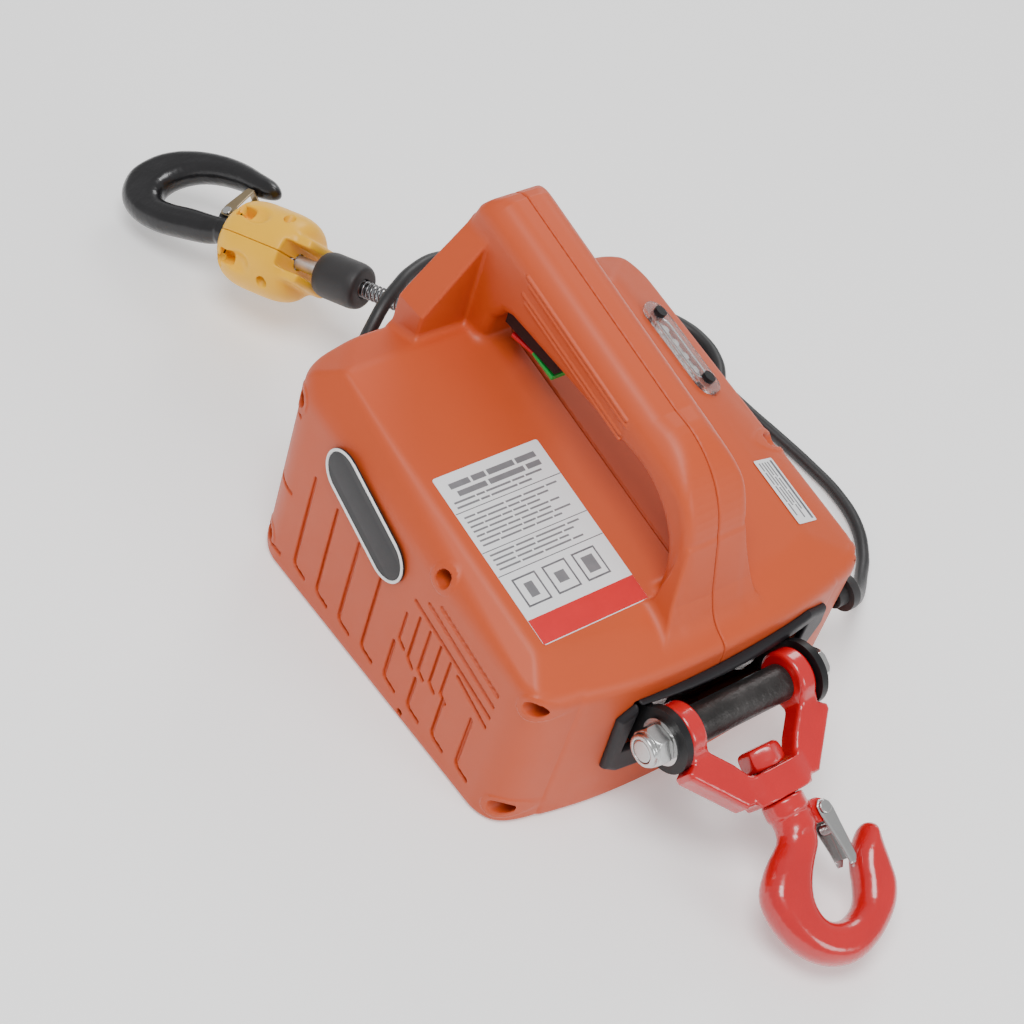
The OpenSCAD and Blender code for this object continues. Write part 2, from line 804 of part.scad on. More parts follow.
module motor_rotor() {
    color([0.6, 0.35, 0.2]) {
        bar_y(motor_x, motor_z, -98.4, -22, 8);
        bar_y(motor_x, motor_z, -80, -42, motor_d - 10);
        gear_y(motor_x, motor_z, -27, 1, 12, 7, mesh(motor_way, 60, 0, 12));
        for (a = [0:40:320]) translate([motor_x, 0, motor_z]) rotate([0, a, 0])
            translate([3, -94, -1]) cube([20, 9, 2]);
    }
}

// ---------------------------------------------------------------- switch, cord and plug

module switch_body() {
    color(dark) difference() {
        union() {
            translate([-67.9, -13.9, 150]) cube([39.8, 27.8, 15]);
            translate([-64, -11, 164]) cube([32, 22, 12]);
        }
        translate([-62, -11, 140]) cube([32, 22, 22]);
    }
}

rocker_x = -46;
rocker_z = 156;
module rocker_half(from, to) {
    translate([rocker_x, 10.5, rocker_z]) rotate([90, 0, 0]) linear_extrude(21) intersection() {
        polygon([[-15, -2], [-15, -9.5], [0, -6.5], [15, -9.5], [15, -2], [4, 3], [-4, 3]]);
        translate([from, -20]) square([to - from, 40]);
    }
}
module switch_rocker() {
    color([0.1, 0.6, 0.2]) {
        rocker_half(0, 20);
        bar_y(rocker_x, rocker_z, -10.9, 10.9, 4);
    }
    color("red") rocker_half(-20, 0);
}

// The cord's gland, and the way its soft sleeve points once it is out of the wall.
gland_x = 97;
gland_z = 56;
sleeve_start = [gland_x, 111, gland_z];
sleeve_l = 22.5;
module at_sleeve() {
    aim = unit(cord_route[0] - sleeve_start);
    translate(sleeve_start) rotate([0, acos(aim[2]), atan2(aim[1], aim[0])]) children();
}
module cord_gland() {
    color(dark) {
        bar_y(gland_x, gland_z, 104, half_w + 0.5, 12.6);
        bar_y(gland_x, gland_z, half_w + 0.2, 116, 20);
        at_sleeve() cylinder(d1 = 12.5, d2 = 9.4, h = sleeve_l);
    }
}

module control_board() {
    color([0.1, 0.35, 0.2]) translate([-96, -90, 30]) cube([2, 60, 55]);
    color(dark) translate([-94, -80, 38]) cube([22, 28, 34]);
}

coil_x = -105;
coil_y = 160;
coil_h = coil_layers * (cord_d + 0.3);
cord_route = [[95, 128, 41], [92, 137, 32], [87, 148, 22], [80, 161, 12.5], [70, 175, 6.5],
    [57, 190, 4], [39, 202, 4], [16, 208, 4], [-8, 208, 4], [-32, 206, 4], [-58, 203, 4],
    [-80, 201.6, 4]];
// The tail leaves the coil, passes over the rope and hangs down behind the housing.
tail_route = [[-146.3, 152, 19.8], [-147, 147, 20.5], [-149, 134.5, 24.5], [-152, 123, 30],
    [-159.5, 102, 45], [-166.5, 82.5, 60.5], [-171.5, 61, 75], [-171.5, 37, 85.5], [-164.5, 12, 89.5],
    [-159, 0, 89], [-153.5, -11.5, 86], [-148, -21.5, 79], [-144.3, -28.8, 69], [-142.5, -32.5, 56.5],
    [-142, -33, 43.5]];

module power_cord() {
    color(dark) tube(smooth(cord_route, 3), cord_d, 10);
}

module cord_coil() {
    color(dark) translate([coil_x, coil_y, 0.2]) rotate_extrude()
        translate([coil_r - 2 * cord_d, 0]) square([2 * cord_d, coil_h]);
}

module cord_tail() {
    color(dark) tube(smooth(tail_route, 3), cord_d, 10);
}

plug_way = 30;
module at_plug() {
    translate(tail_route[len(tail_route) - 1]) rotate([180, 0, plug_way]) children();
}
module mains_plug() {
    color(dark) at_plug() {
        translate([0, 0, 0.1]) cylinder(d1 = 9.5, d2 = 13, h = 10);
        translate([-10, -9, 10]) cube([20, 18, 15]);
    }
    color(steel) at_plug() for (x = [-6.4, 6.4]) translate([x - 0.8, -3.15, 25]) cube([1.6, 6.3, 14]);
}

housing_near();
housing_far();
housing_screws();
name_badge();
safety_label();
rating_label();
lamp_lens();
lamp_screws();
lamp_board();
front_bezel();
hook_bracket();
bracket_bolts();
cross_bolt();
spacer_tube();
lock_nut();
bolt_washers();
front_yoke();
front_hook();
front_hook_nut();
front_latch();
front_latch_pin();
front_latch_spring();
rope_guide();
limit_plate();
limit_switch();
rope_run();
rope_bend();
rope_lead();
rope_ferrule();
block_near();
block_far();
block_screws();
block_swivel();
rubber_bumper();
limit_spring();
rear_hook();
rear_latch();
rear_latch_pin();
rope_drum();
drum_rope();
drum_shaft();
drum_bearings();
frame_plate();
frame_beam();
frame_rods();
gearbox_case();
gearbox_cover();
drum_gear();
gear_shaft_low();
gear_shaft_high();
motor_can();
motor_rotor();
switch_body();
switch_rocker();
cord_gland();
control_board();
power_cord();
cord_coil();
cord_tail();
mains_plug();
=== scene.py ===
"""Looks of a portable electric wire rope hoist, built round its CAD model."""

import json
import math
from functools import reduce
from itertools import combinations, product

import bpy
import numpy as np
from mathutils import Matrix, Vector


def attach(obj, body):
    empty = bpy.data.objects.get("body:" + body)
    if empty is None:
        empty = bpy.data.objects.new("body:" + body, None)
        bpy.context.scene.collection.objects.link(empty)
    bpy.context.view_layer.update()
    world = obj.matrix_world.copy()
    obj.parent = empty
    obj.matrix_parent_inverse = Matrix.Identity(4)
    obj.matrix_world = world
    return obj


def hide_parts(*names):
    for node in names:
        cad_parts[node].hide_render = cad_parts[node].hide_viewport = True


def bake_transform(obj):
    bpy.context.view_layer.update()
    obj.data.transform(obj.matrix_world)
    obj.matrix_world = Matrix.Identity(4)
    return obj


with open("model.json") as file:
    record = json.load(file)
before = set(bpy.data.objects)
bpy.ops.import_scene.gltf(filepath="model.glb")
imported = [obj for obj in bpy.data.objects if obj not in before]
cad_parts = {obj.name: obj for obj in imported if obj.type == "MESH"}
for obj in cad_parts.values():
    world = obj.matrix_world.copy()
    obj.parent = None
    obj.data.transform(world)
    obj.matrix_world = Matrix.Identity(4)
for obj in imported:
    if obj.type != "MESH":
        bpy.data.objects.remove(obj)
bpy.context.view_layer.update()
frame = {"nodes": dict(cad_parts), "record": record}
NODES = frame["nodes"]
MM = 0.001


# ---------------------------------------------------------------- camera


def make_camera():
    data = bpy.data.cameras.new("camera")
    cam = bpy.data.objects.new("camera", data)
    bpy.context.scene.collection.objects.link(cam)
    place = Vector((0.50122, -0.66795, 0.90402))
    aim = Vector((-0.02115, -0.01857, 0.060))
    forward = (aim - place).normalized()
    side = forward.cross(Vector((0, 0, 1))).normalized()
    up = side.cross(forward)
    roll = math.radians(19.1745)
    right = math.cos(roll) * side + math.sin(roll) * up
    top = math.cos(roll) * up - math.sin(roll) * side
    turn = Matrix((right, top, -forward)).transposed()
    cam.matrix_world = Matrix.Translation(place) @ turn.to_4x4()
    data.lens = 82.70
    data.sensor_width = 36
    data.clip_start, data.clip_end = 0.05, 20
    bpy.context.scene.camera = cam


make_camera()


# ---------------------------------------------------------------- local frames


def rot(axis, degrees):
    return np.array(Matrix.Rotation(math.radians(degrees), 3, axis), float)


class Place:
    """A local frame in millimetres: a rotation and a point in the row frame."""

    def __init__(self, turn=None, at=(0, 0, 0)):
        self.turn = np.eye(3) if turn is None else turn
        self.at = np.array(at, float)

    def out(self, p):
        return (np.asarray(p, float) @ self.turn.T + self.at) * MM


BOLT_AT = (131.6, 0, 68.3)
GUIDE_Y, GUIDE_Z = 21, 83
ORIGIN = (0, 0, 0)
ALONG_X, ALONG_Y, ALONG_Z = (1, 0, 0), (0, 1, 0), (0, 0, 1)

WORLD = Place()
YOKE = Place(rot("Y", 25), BOLT_AT)
ROPE = Place(rot("Z", 196.25) @ rot("Y", 15.5), (-109, 24, 86))
REAR = Place(ROPE.turn @ rot("X", 158.75), ROPE.at)
BLOCK = Place(ROPE.turn @ rot("X", -46), ROPE.at)
DECK_SLOPE = 0.176
DECK_TILT = math.degrees(math.atan(DECK_SLOPE))


def deck_at(x):
    """Height of the sloping deck above x."""
    return 119.4 - DECK_SLOPE * x


def far_place(x, y, fall):
    """A place on the flank beside the deck, which falls away to the far side."""
    turn = rot("Y", DECK_TILT) @ rot("X", -math.degrees(math.atan(fall)))
    return Place(turn, (x, y, deck_at(x) - (y - 75) * fall))


LAMP = far_place(-35, 84.5, 0.36)
RATING = far_place(57, 84, 0.32)
LABEL = Place(rot("Y", DECK_TILT), (32, -58, deck_at(32)))
BADGE = Place(rot("X", 90) @ rot("Z", -21.5), (-31, -110, 91.5))


# ---------------------------------------------------------------- materials


def put(node, **values):
    """Sets inputs of a node; an underscore in a keyword stands for a space."""
    for key, value in values.items():
        node.inputs[key.replace("_", " ")].default_value = value


def node_material(name):
    m = bpy.data.materials.new(name)
    m.use_nodes = True
    return m, m.node_tree.nodes, m.node_tree.links, m.node_tree.nodes["Principled BSDF"]


def noise_of(nodes, links, scale, detail=4.0, rough=0.55, stretch=None):
    tex = nodes.new("ShaderNodeTexNoise")
    put(tex, Scale=scale, Detail=detail, Roughness=rough)
    source = nodes.new("ShaderNodeTexCoord").outputs["Object"]
    if stretch:
        mapping = nodes.new("ShaderNodeMapping")
        put(mapping, Scale=stretch)
        links.new(source, mapping.inputs["Vector"])
        source = mapping.outputs["Vector"]
    links.new(source, tex.inputs["Vector"])
    return tex.outputs["Fac"]


def range_of(nodes, links, value, **limits):
    node = nodes.new("ShaderNodeMapRange")
    put(node, **limits)
    links.new(value, node.inputs["Value"])
    return node.outputs["Result"]


def bump_of(nodes, links, height, strength, distance=0.0004, under=None):
    node = nodes.new("ShaderNodeBump")
    put(node, Strength=strength, Distance=distance)
    links.new(height, node.inputs["Height"])
    if under:
        links.new(under, node.inputs["Normal"])
    return node.outputs["Normal"]


def finish_of(name, color, rough, metallic=0.0, grain=(2500, 0.15), vary=(35, 0.06), rough_vary=0.06,
              coat=0.0, dents=None, specular=0.5, stretch=None, sheen=0.0):
    """A material with colour drift, uneven gloss, a fine grain and, if asked, soft dents.

    grain, vary and dents each give a noise scale and a strength.
    """
    m, nodes, links, shader = node_material(name)
    put(shader, Metallic=metallic, Specular_IOR_Level=specular, Coat_Weight=coat, Coat_Roughness=0.12,
        Sheen_Weight=sheen)
    scale, spread = vary
    mix = nodes.new("ShaderNodeMix")
    mix.data_type = "RGBA"
    mix.inputs[6].default_value = [c * (1 - spread) for c in color] + [1]
    mix.inputs[7].default_value = [min(1, c * (1 + spread)) for c in color] + [1]
    drift = range_of(nodes, links, noise_of(nodes, links, scale), From_Min=0.3, From_Max=0.7)
    links.new(drift, mix.inputs["Factor"])
    links.new(mix.outputs[2], shader.inputs["Base Color"])
    gloss = range_of(nodes, links, noise_of(nodes, links, scale * 6, 5.0),
                     To_Min=max(0.03, rough - rough_vary), To_Max=min(1, rough + rough_vary))
    links.new(gloss, shader.inputs["Roughness"])
    soft = None
    if dents:
        soft = bump_of(nodes, links, noise_of(nodes, links, dents[0], 2.0), dents[1], 0.002)
    fine = noise_of(nodes, links, grain[0], 3.0, 0.6, stretch)
    links.new(bump_of(nodes, links, fine, grain[1], under=soft), shader.inputs["Normal"])
    return m


def clear_material(name, tint, rough):
    m, nodes, links, shader = node_material(name)
    put(shader, Base_Color=[*tint, 1], Transmission_Weight=0.95, IOR=1.46)
    ridges = noise_of(nodes, links, 420, 2.0)
    gloss = range_of(nodes, links, ridges, To_Min=rough, To_Max=rough + 0.12)
    links.new(gloss, shader.inputs["Roughness"])
    links.new(bump_of(nodes, links, ridges, 0.12), shader.inputs["Normal"])
    return m


# slot, material name, colour, roughness, metallic, grain, colour drift, and further settings
LOOKS = (
    ("orange_shell", "orange_abs", (0.50, 0.068, 0.015), 0.47, 0, (2600, 0.10), (9, 0.025),
     {"dents": (26, 0.03), "specular": 0.4}),
    ("black_plastic", "black_plastic", (0.012, 0.011, 0.013), 0.46, 0, (2200, 0.15), (30, 0.12),
     {"specular": 0.28}),
    ("black_steel", "black_coated_steel", (0.008, 0.008, 0.009), 0.42, 0, (1800, 0.15), (60, 0.2),
     {"specular": 0.3}),
    ("grey_steel", "grey_coated_steel", (0.045, 0.042, 0.041), 0.38, 0.7, (900, 0.5), (70, 0.3),
     {"dents": (240, 0.25)}),
    ("zinc", "zinc_plate", (0.55, 0.55, 0.545), 0.25, 1, (1600, 0.04), (60, 0.05), {"rough_vary": 0.05}),
    ("rope_steel", "galvanised_rope", (0.52, 0.53, 0.55), 0.33, 1, (2600, 0.25), (120, 0.15), {}),
    ("hook_red", "red_gloss_paint", (0.52, 0.003, 0.007), 0.24, 0, (700, 0.05), (25, 0.08),
     {"coat": 0.6, "dents": (110, 0.28)}),
    ("hook_dark", "dark_forging", (0.011, 0.0105, 0.012), 0.3, 0.25, (700, 0.22), (50, 0.2),
     {"coat": 0.3, "dents": (120, 0.3)}),
    ("block_yellow", "yellow_plastic", (0.90, 0.47, 0.006), 0.40, 0, (2400, 0.1), (20, 0.04),
     {"specular": 0.4}),
    ("bumper_rubber", "bumper_rubber", (0.018, 0.017, 0.018), 0.55, 0, (1500, 0.3), (40, 0.15),
     {"sheen": 0.1}),
    ("cord_rubber", "cord_sheath", (0.015, 0.015, 0.016), 0.45, 0, (1800, 0.2), (40, 0.12), {}),
    ("lamp_board", "lamp_board", (0.75, 0.76, 0.74), 0.4, 0, (2500, 0.2), (150, 0.1), {}),
    ("board_green", "circuit_board", (0.02, 0.12, 0.05), 0.35, 0, (900, 0.3), (120, 0.3), {}),
    ("badge", "badge_black", (0.014, 0.014, 0.016), 0.4, 0, (2500, 0.1), (40, 0.05), {"specular": 0.3}),
    ("label_white", "label_white", (0.75, 0.76, 0.77), 0.38, 0, (900, 0.05), (15, 0.02), {}),
    ("rocker_plastic", "rocker_green", (0.01, 0.36, 0.05), 0.3, 0, (2400, 0.1), (40, 0.05), {}),
    ("gear_steel", "gear_steel", (0.42, 0.42, 0.43), 0.28, 1, (900, 0.2), (60, 0.15), {}),
    ("drum_iron", "drum_iron", (0.2, 0.2, 0.205), 0.45, 0.9, (1200, 0.4), (60, 0.2), {}),
    ("gearbox_alloy", "die_cast", (0.55, 0.56, 0.57), 0.42, 0.95, (1500, 0.4), (50, 0.08), {}),
    ("motor_steel", "motor_can", (0.05, 0.055, 0.07), 0.35, 0.5, (1800, 0.15), (40, 0.1), {}),
    ("rotor_copper", "wound_rotor", (0.5, 0.25, 0.13), 0.35, 0.9, (800, 0.5), (90, 0.2),
     {"stretch": (1, 8, 1)}),
    ("latch_bronze", "passivated_steel", (0.40, 0.31, 0.19), 0.32, 1, (1500, 0.2), (80, 0.15), {}),
)
FINISH = {slot: finish_of(*look, **more) for slot, *look, more in LOOKS}
FINISH["clear_lens"] = clear_material("clear_lens", (0.94, 0.95, 0.96), 0.04)
RIM = finish_of("badge_rim", (0.78, 0.78, 0.77), 0.3, 0, (2500, 0.06), (40, 0.03))
PRINT_GREY = finish_of("print_grey", (0.16, 0.16, 0.17), 0.45, 0, (2500, 0.1), (200, 0.08))
PRINT_RULE = finish_of("print_rule", (0.12, 0.12, 0.13), 0.45, 0, (2500, 0.1), (200, 0.2))
PRINT_RED = finish_of("print_red", (0.60, 0.012, 0.016), 0.4, 0, (2500, 0.08), (60, 0.06))
ROCKER_RED = finish_of("rocker_red", (0.6, 0.01, 0.02), 0.3, 0, (2400, 0.1), (40, 0.05))
SPRING = finish_of("spring_wire", (0.24, 0.24, 0.245), 0.3, 1, (1600, 0.15), (90, 0.15))
BINDING = finish_of("bound_strands", (0.80, 0.81, 0.83), 0.36, 0.75, (2600, 0.3), (160, 0.12))
NYLON = finish_of("nut_insert", (0.02, 0.02, 0.025), 0.4, 0, (1500, 0.2), (60, 0.1))


# ---------------------------------------------------------------- distance fields


def smax(a, b, k):
    h = np.maximum(k - np.abs(a - b), 0)
    return np.maximum(a, b) + h * h * (0.25 / k)


def smin(a, b, k):
    return -smax(-a, -b, k)


def polygon_field(points):
    """Signed distance in a plane to a closed outline, negative inside."""
    p = np.array(points, np.float32)
    q = np.roll(p, -1, 0)

    def field(u, v):
        best = inside = None
        for (ax, ay), (bx, by) in zip(p, q):
            ex, ey = bx - ax, by - ay
            wx, wy = u - ax, v - ay
            t = np.clip((wx * ex + wy * ey) / max(ex * ex + ey * ey, 1e-9), 0, 1)
            d = (wx - ex * t) ** 2 + (wy - ey * t) ** 2
            best = d if best is None else np.minimum(best, d)
            c1, c2 = v >= ay, v < by
            side = ex * wy > ey * wx
            flip = (c1 & c2 & side) | (~c1 & ~c2 & ~side)
            inside = flip if inside is None else inside ^ flip
        return np.where(inside, -np.sqrt(best), np.sqrt(best))

    return field


def spline_through(points, n):
    """A smooth curve through the points, with n steps between each two."""
    p = np.array(points, float)
    out = []
    for i in range(len(p) - 1):
        a, b, c, d = p[max(i - 1, 0)], p[i], p[i + 1], p[min(i + 2, len(p) - 1)]
        for k in range(n):
            t = k / n
            out.append(0.5 * (2 * b + (c - a) * t + (2 * a - 5 * b + 4 * c - d) * t * t
                              + (3 * b - a - 3 * c + d) * t ** 3))
    out.append(p[-1])
    return np.array(out)


def box_field(x, y, z, centre, half, r=0.0):
    dx = np.abs(x - centre[0]) - half[0] + r
    dy = np.abs(y - centre[1]) - half[1] + r
    dz = np.abs(z - centre[2]) - half[2] + r
    out = np.sqrt(np.maximum(dx, 0) ** 2 + np.maximum(dy, 0) ** 2 + np.maximum(dz, 0) ** 2)
    return out + np.minimum(np.maximum(dx, np.maximum(dy, dz)), 0) - r


def rod_field(a, b, along, r, lo, hi, k=0.0):
    """A round bar: a and b are offsets across it, along is the place on it."""
    d = np.sqrt(a * a + b * b) - r
    e = np.maximum(lo - along, along - hi)
    return smax(d, e, k) if k else np.maximum(d, e)


def line_field(u, v, points):
    """Distance in a plane to a chain of straight pieces."""
    best = None
    for (ax, ay), (bx, by) in zip(points[:-1], points[1:]):
        ex, ey = bx - ax, by - ay
        t = np.clip(((u - ax) * ex + (v - ay) * ey) / (ex * ex + ey * ey), 0, 1)
        d = (u - ax - ex * t) ** 2 + (v - ay - ey * t) ** 2
        best = d if best is None else np.minimum(best, d)
    return np.sqrt(best)


def gradient(field, p, e=0.08):
    g = np.empty_like(p)
    for k in range(3):
        a, b = p.copy(), p.copy()
        a[:, k] += e
        b[:, k] -= e
        g[:, k] = (field(a[:, 0], a[:, 1], a[:, 2]) - field(b[:, 0], b[:, 1], b[:, 2])) / (2 * e)
    return g


def nets(field, lo, hi, h):
    """Vertices and quads of the field's zero surface, on a grid of pitch h, one number or three."""
    h = np.broadcast_to(np.asarray(h, float), 3)
    ax = [np.arange(a - 2 * e, b + 3 * e, e, dtype=np.float32) for a, b, e in zip(lo, hi, h)]
    shape = tuple(len(a) for a in ax)
    v = np.broadcast_to(field(ax[0][:, None, None], ax[1][None, :, None], ax[2][None, None, :]), shape)
    v = np.ascontiguousarray(v, np.float32)
    inside = v < 0
    count = np.zeros([n - 1 for n in shape], np.uint8)
    for i, j, k in product((0, 1), repeat=3):
        count += inside[i:shape[0] - 1 + i, j:shape[1] - 1 + j, k:shape[2] - 1 + k]
    active = (count > 0) & (count < 8)
    idx = np.argwhere(active)
    ident = np.full(active.shape, -1, np.int32)
    ident[active] = np.arange(len(idx))
    place = np.zeros((len(idx), 3))
    hits = np.zeros(len(idx))
    for a in range(3):
        others = [k for k in range(3) if k != a]
        for corner in product((0, 1), repeat=2):
            o = np.zeros(3, int)
            o[others] = corner
            i0 = idx + o
            i1 = i0.copy()
            i1[:, a] += 1
            v0, v1 = v[tuple(i0.T)], v[tuple(i1.T)]
            m = (v0 < 0) != (v1 < 0)
            add = np.tile(o.astype(float), (m.sum(), 1))
            add[:, a] += v0[m] / (v0[m] - v1[m])
            place[m] += add
            hits[m] += 1
    first = np.array([a[0] for a in ax])
    points = first + (idx + place / hits[:, None]) * h
    quads = []
    for a in range(3):
        b, c = (a + 1) % 3, (a + 2) % 3
        low = [slice(None)] * 3
        high = [slice(None)] * 3
        low[a], high[a] = slice(0, -1), slice(1, None)
        change = inside[tuple(low)] != inside[tuple(high)]
        e = np.argwhere(change)
        e = e[(e[:, b] > 0) & (e[:, c] > 0)]
        eb, ec = np.zeros(3, int), np.zeros(3, int)
        eb[b], ec[c] = 1, 1
        q = np.stack([ident[tuple(w.T)] for w in (e, e - eb, e - eb - ec, e - ec)], 1)
        start_in = inside[tuple(e.T)]
        q[~start_in] = q[~start_in][:, ::-1]
        quads.append(q)
    return points, np.concatenate(quads)


def settle(field, p, h):
    """Newton steps that bring points onto the zero surface."""
    for _ in range(3):
        d = field(p[:, 0], p[:, 1], p[:, 2])
        g = gradient(field, p)
        n = np.maximum((g * g).sum(1), 0.2)
        step = np.clip(d / n, -0.4 * h, 0.4 * h)
        p = p - step[:, None] * g
    return p


def mesh_of(name, points, faces):
    mesh = bpy.data.meshes.new(name)
    size = faces.shape[1]
    mesh.vertices.add(len(points))
    mesh.vertices.foreach_set("co", np.asarray(points, np.float32).ravel())
    mesh.loops.add(faces.size)
    mesh.loops.foreach_set("vertex_index", faces.astype(np.int32).ravel())
    mesh.polygons.add(len(faces))
    mesh.polygons.foreach_set("loop_start", np.arange(0, faces.size, size, dtype=np.int32))
    mesh.update(calc_edges=True)
    mesh.validate()
    return mesh


def show(name, mesh, body, slot, replaces=(), material=None):
    obj = bpy.data.objects.new(name, mesh)
    bpy.context.scene.collection.objects.link(obj)
    obj.data.materials.append(material or FINISH[slot])
    if replaces:
        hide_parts(*replaces)
    if body:
        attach(obj, body)
    return obj


def carve(name, field, lo, hi, h, place, body, slot, replaces, most=190000):
    """A piece whose surface is the field's zero set, with normals taken from the field."""
    points, quads = nets(field, lo, hi, h)
    points = settle(field, points, float(np.max(h)))
    mesh = mesh_of(name, points, quads)
    ratio = most / (2 * len(quads))
    if ratio < 1:
        temp = bpy.data.objects.new("temp", mesh)
        bpy.context.scene.collection.objects.link(temp)
        mod = temp.modifiers.new("fewer", "DECIMATE")
        mod.ratio = ratio
        graph = bpy.context.evaluated_depsgraph_get()
        mesh = bpy.data.meshes.new_from_object(temp.evaluated_get(graph))
        mesh.name = name
        bpy.data.objects.remove(temp)
    co = np.zeros(len(mesh.vertices) * 3, np.float32)
    mesh.vertices.foreach_get("co", co)
    p = co.reshape(-1, 3).astype(float)
    g = gradient(field, p, 0.15)
    g /= np.maximum(np.linalg.norm(g, axis=1), 1e-6)[:, None]
    mesh.vertices.foreach_set("co", place.out(p).astype(np.float32).ravel())
    mesh.update()
    mesh.polygons.foreach_set("use_smooth", np.ones(len(mesh.polygons), bool))
    mesh.normals_split_custom_set_from_vertices((g @ place.turn.T).tolist())
    return show(name, mesh, body, slot, replaces)


# ---------------------------------------------------------------- swept and turned pieces


def frames_along(path):
    """The path with a tangent and two cross directions at each point that don't twist."""
    path = np.asarray(path, float)
    tangent = np.gradient(path, axis=0)
    tangent /= np.linalg.norm(tangent, axis=1)[:, None]
    normal = np.cross(tangent[0], [0.13, 0.07, 1.0])
    normal /= np.linalg.norm(normal)
    normals = [normal]
    for t in tangent[1:]:
        n = normals[-1] - t * (normals[-1] @ t)
        normals.append(n / np.linalg.norm(n))
    normals = np.array(normals)
    return path, tangent, normals, np.cross(tangent, normals)


def sweep(name, path, radius, sides, body, slot, replaces=(), twist=0.0, lobes=0, depth=0.0,
          place=WORLD, turns=None, material=None):
    """A closed tube along a path.

    Lobes and a twist, in turns per millimetre or as turns at each point, make it a laid rope.
    """
    path, _, n, b = frames_along(path)
    s = np.r_[0, np.cumsum(np.linalg.norm(np.diff(path, axis=0), axis=1))]
    phi = np.linspace(0, 2 * np.pi, sides, endpoint=False)
    r = np.broadcast_to(np.asarray(radius, float), (len(path),))
    ring = r[:, None] * np.ones(sides)
    if lobes:
        phase = (twist * s if turns is None else turns)[:, None]
        wave = np.abs(np.cos(lobes / 2 * (phi[None, :] + 2 * np.pi * phase)))
        ring = ring * (1 - depth + depth * wave ** 0.7)
    points = path[:, None] + ring[..., None] * (np.cos(phi)[None, :, None] * n[:, None]
                                                + np.sin(phi)[None, :, None] * b[:, None])
    count = len(path)
    points = np.concatenate([points.reshape(-1, 3), path[:1], path[-1:]])
    i, k = np.meshgrid(np.arange(count - 1), np.arange(sides), indexing="ij")
    a, nxt = i * sides + k, i * sides + (k + 1) % sides
    faces = np.stack([a, nxt, nxt + sides, a + sides], -1).reshape(-1, 4)
    mesh = bpy.data.meshes.new(name)
    caps = [(count * sides, (k + 1) % sides, k) for k in range(sides)]
    last = (count - 1) * sides
    caps += [(count * sides + 1, last + k, last + (k + 1) % sides) for k in range(sides)]
    mesh.from_pydata(place.out(points).tolist(), [], faces.tolist() + caps)
    smooth = np.ones(len(mesh.polygons), bool)
    smooth[len(faces):] = False
    mesh.polygons.foreach_set("use_smooth", smooth)
    mesh.update()
    return show(name, mesh, body, slot, replaces, material)


def helix(turns, r, start, end, per_turn=20, close=1.0, wire=1.0):
    """Points of a coil spring along X, with closed end turns."""
    n = int(turns * per_turn)
    t = np.linspace(0, 1, n + 1)
    edge = close / turns
    rise = np.clip((t - edge) / (1 - 2 * edge), 0, 1)
    pad = np.minimum(t, edge) / edge * wire + (np.maximum(t, 1 - edge) - (1 - edge)) / edge * wire
    x = start + rise * (end - start - 2 * wire) + pad
    a = 2 * np.pi * turns * t
    return np.stack([x, r * np.cos(a), r * np.sin(a)], 1)


def lathe(name, profile, place, at, way, sides, body, slot, replaces=(), material=None):
    """A turned piece: profile is a closed chain of (along, radius) on the local line through at."""
    at, way = np.array(at, float), np.array(way, float)
    way /= np.linalg.norm(way)
    e1 = np.cross(way, [0.31, 0.17, 0.93])
    e1 /= np.linalg.norm(e1)
    e2 = np.cross(way, e1)
    p = np.array(profile, float)
    phi = np.linspace(0, 2 * np.pi, sides, endpoint=False)
    ring = np.cos(phi)[:, None] * e1 + np.sin(phi)[:, None] * e2
    pts = at + p[:, None, 0:1] * way + p[:, None, 1:2] * ring[None]
    m = len(p)
    i, k = np.meshgrid(np.arange(m), np.arange(sides), indexing="ij")
    a = i * sides + k
    b = i * sides + (k + 1) % sides
    c = ((i + 1) % m) * sides + (k + 1) % sides
    d = ((i + 1) % m) * sides + k
    mesh = mesh_of(name, place.out(pts.reshape(-1, 3)), np.stack([a, d, c, b], -1).reshape(-1, 4))
    mesh.polygons.foreach_set("use_smooth", np.ones(len(mesh.polygons), bool))
    mesh.set_sharp_from_angle(angle=math.radians(50))
    mesh.update()
    return show(name, mesh, body, slot, replaces, material)


def rounded(corners, r, n=5):
    """A closed profile whose corners are rounded by r, or by a third value at the corner."""
    out = []
    m = len(corners)
    for i in range(m):
        c = np.array(corners[i][:2], float)
        rr = corners[i][2] if len(corners[i]) > 2 else r
        a = np.array(corners[i - 1][:2], float) - c
        b = np.array(corners[(i + 1) % m][:2], float) - c
        la, lb = np.linalg.norm(a), np.linalg.norm(b)
        rr = min(rr, 0.48 * la, 0.48 * lb)
        if rr < 0.02:
            out.append(c)
            continue
        for t in np.linspace(0, 1, n):
            start, end = c + a / la * rr, c + b / lb * rr
            out.append((1 - t) ** 2 * start + 2 * t * (1 - t) * c + t * t * end)
    return [tuple(q) for q in out]


# ---------------------------------------------------------------- power cord

CORD_D = 7.5
COIL_AT = (-105, 160)
PLUG_AT = (-142, -33, 43.5)
R_OUT, R_IN = 41.25, 33.75
cord_route = [[95, 128, 41], [92, 137, 32], [87, 148, 22], [80, 161, 12.5], [70, 175, 6.5], [57, 190, 4],
              [39, 202, 4], [16, 208, 4], [-8, 208, 4], [-32, 206, 4], [-58, 203, 4], [-80, 201.6, 4]]
tail_route = [[-146.3, 152, 19.8], [-147, 147, 20.5], [-149, 134.5, 24.5], [-152, 123, 30], [-159.5, 102, 45],
              [-166.5, 82.5, 60.5], [-171.5, 61, 75], [-171.5, 37, 85.5], [-164.5, 12, 89.5], [-159, 0, 89],
              [-153.5, -11.5, 86], [-148, -21.5, 79], [-144.3, -28.8, 69], [-142.5, -32.5, 56.5], PLUG_AT]


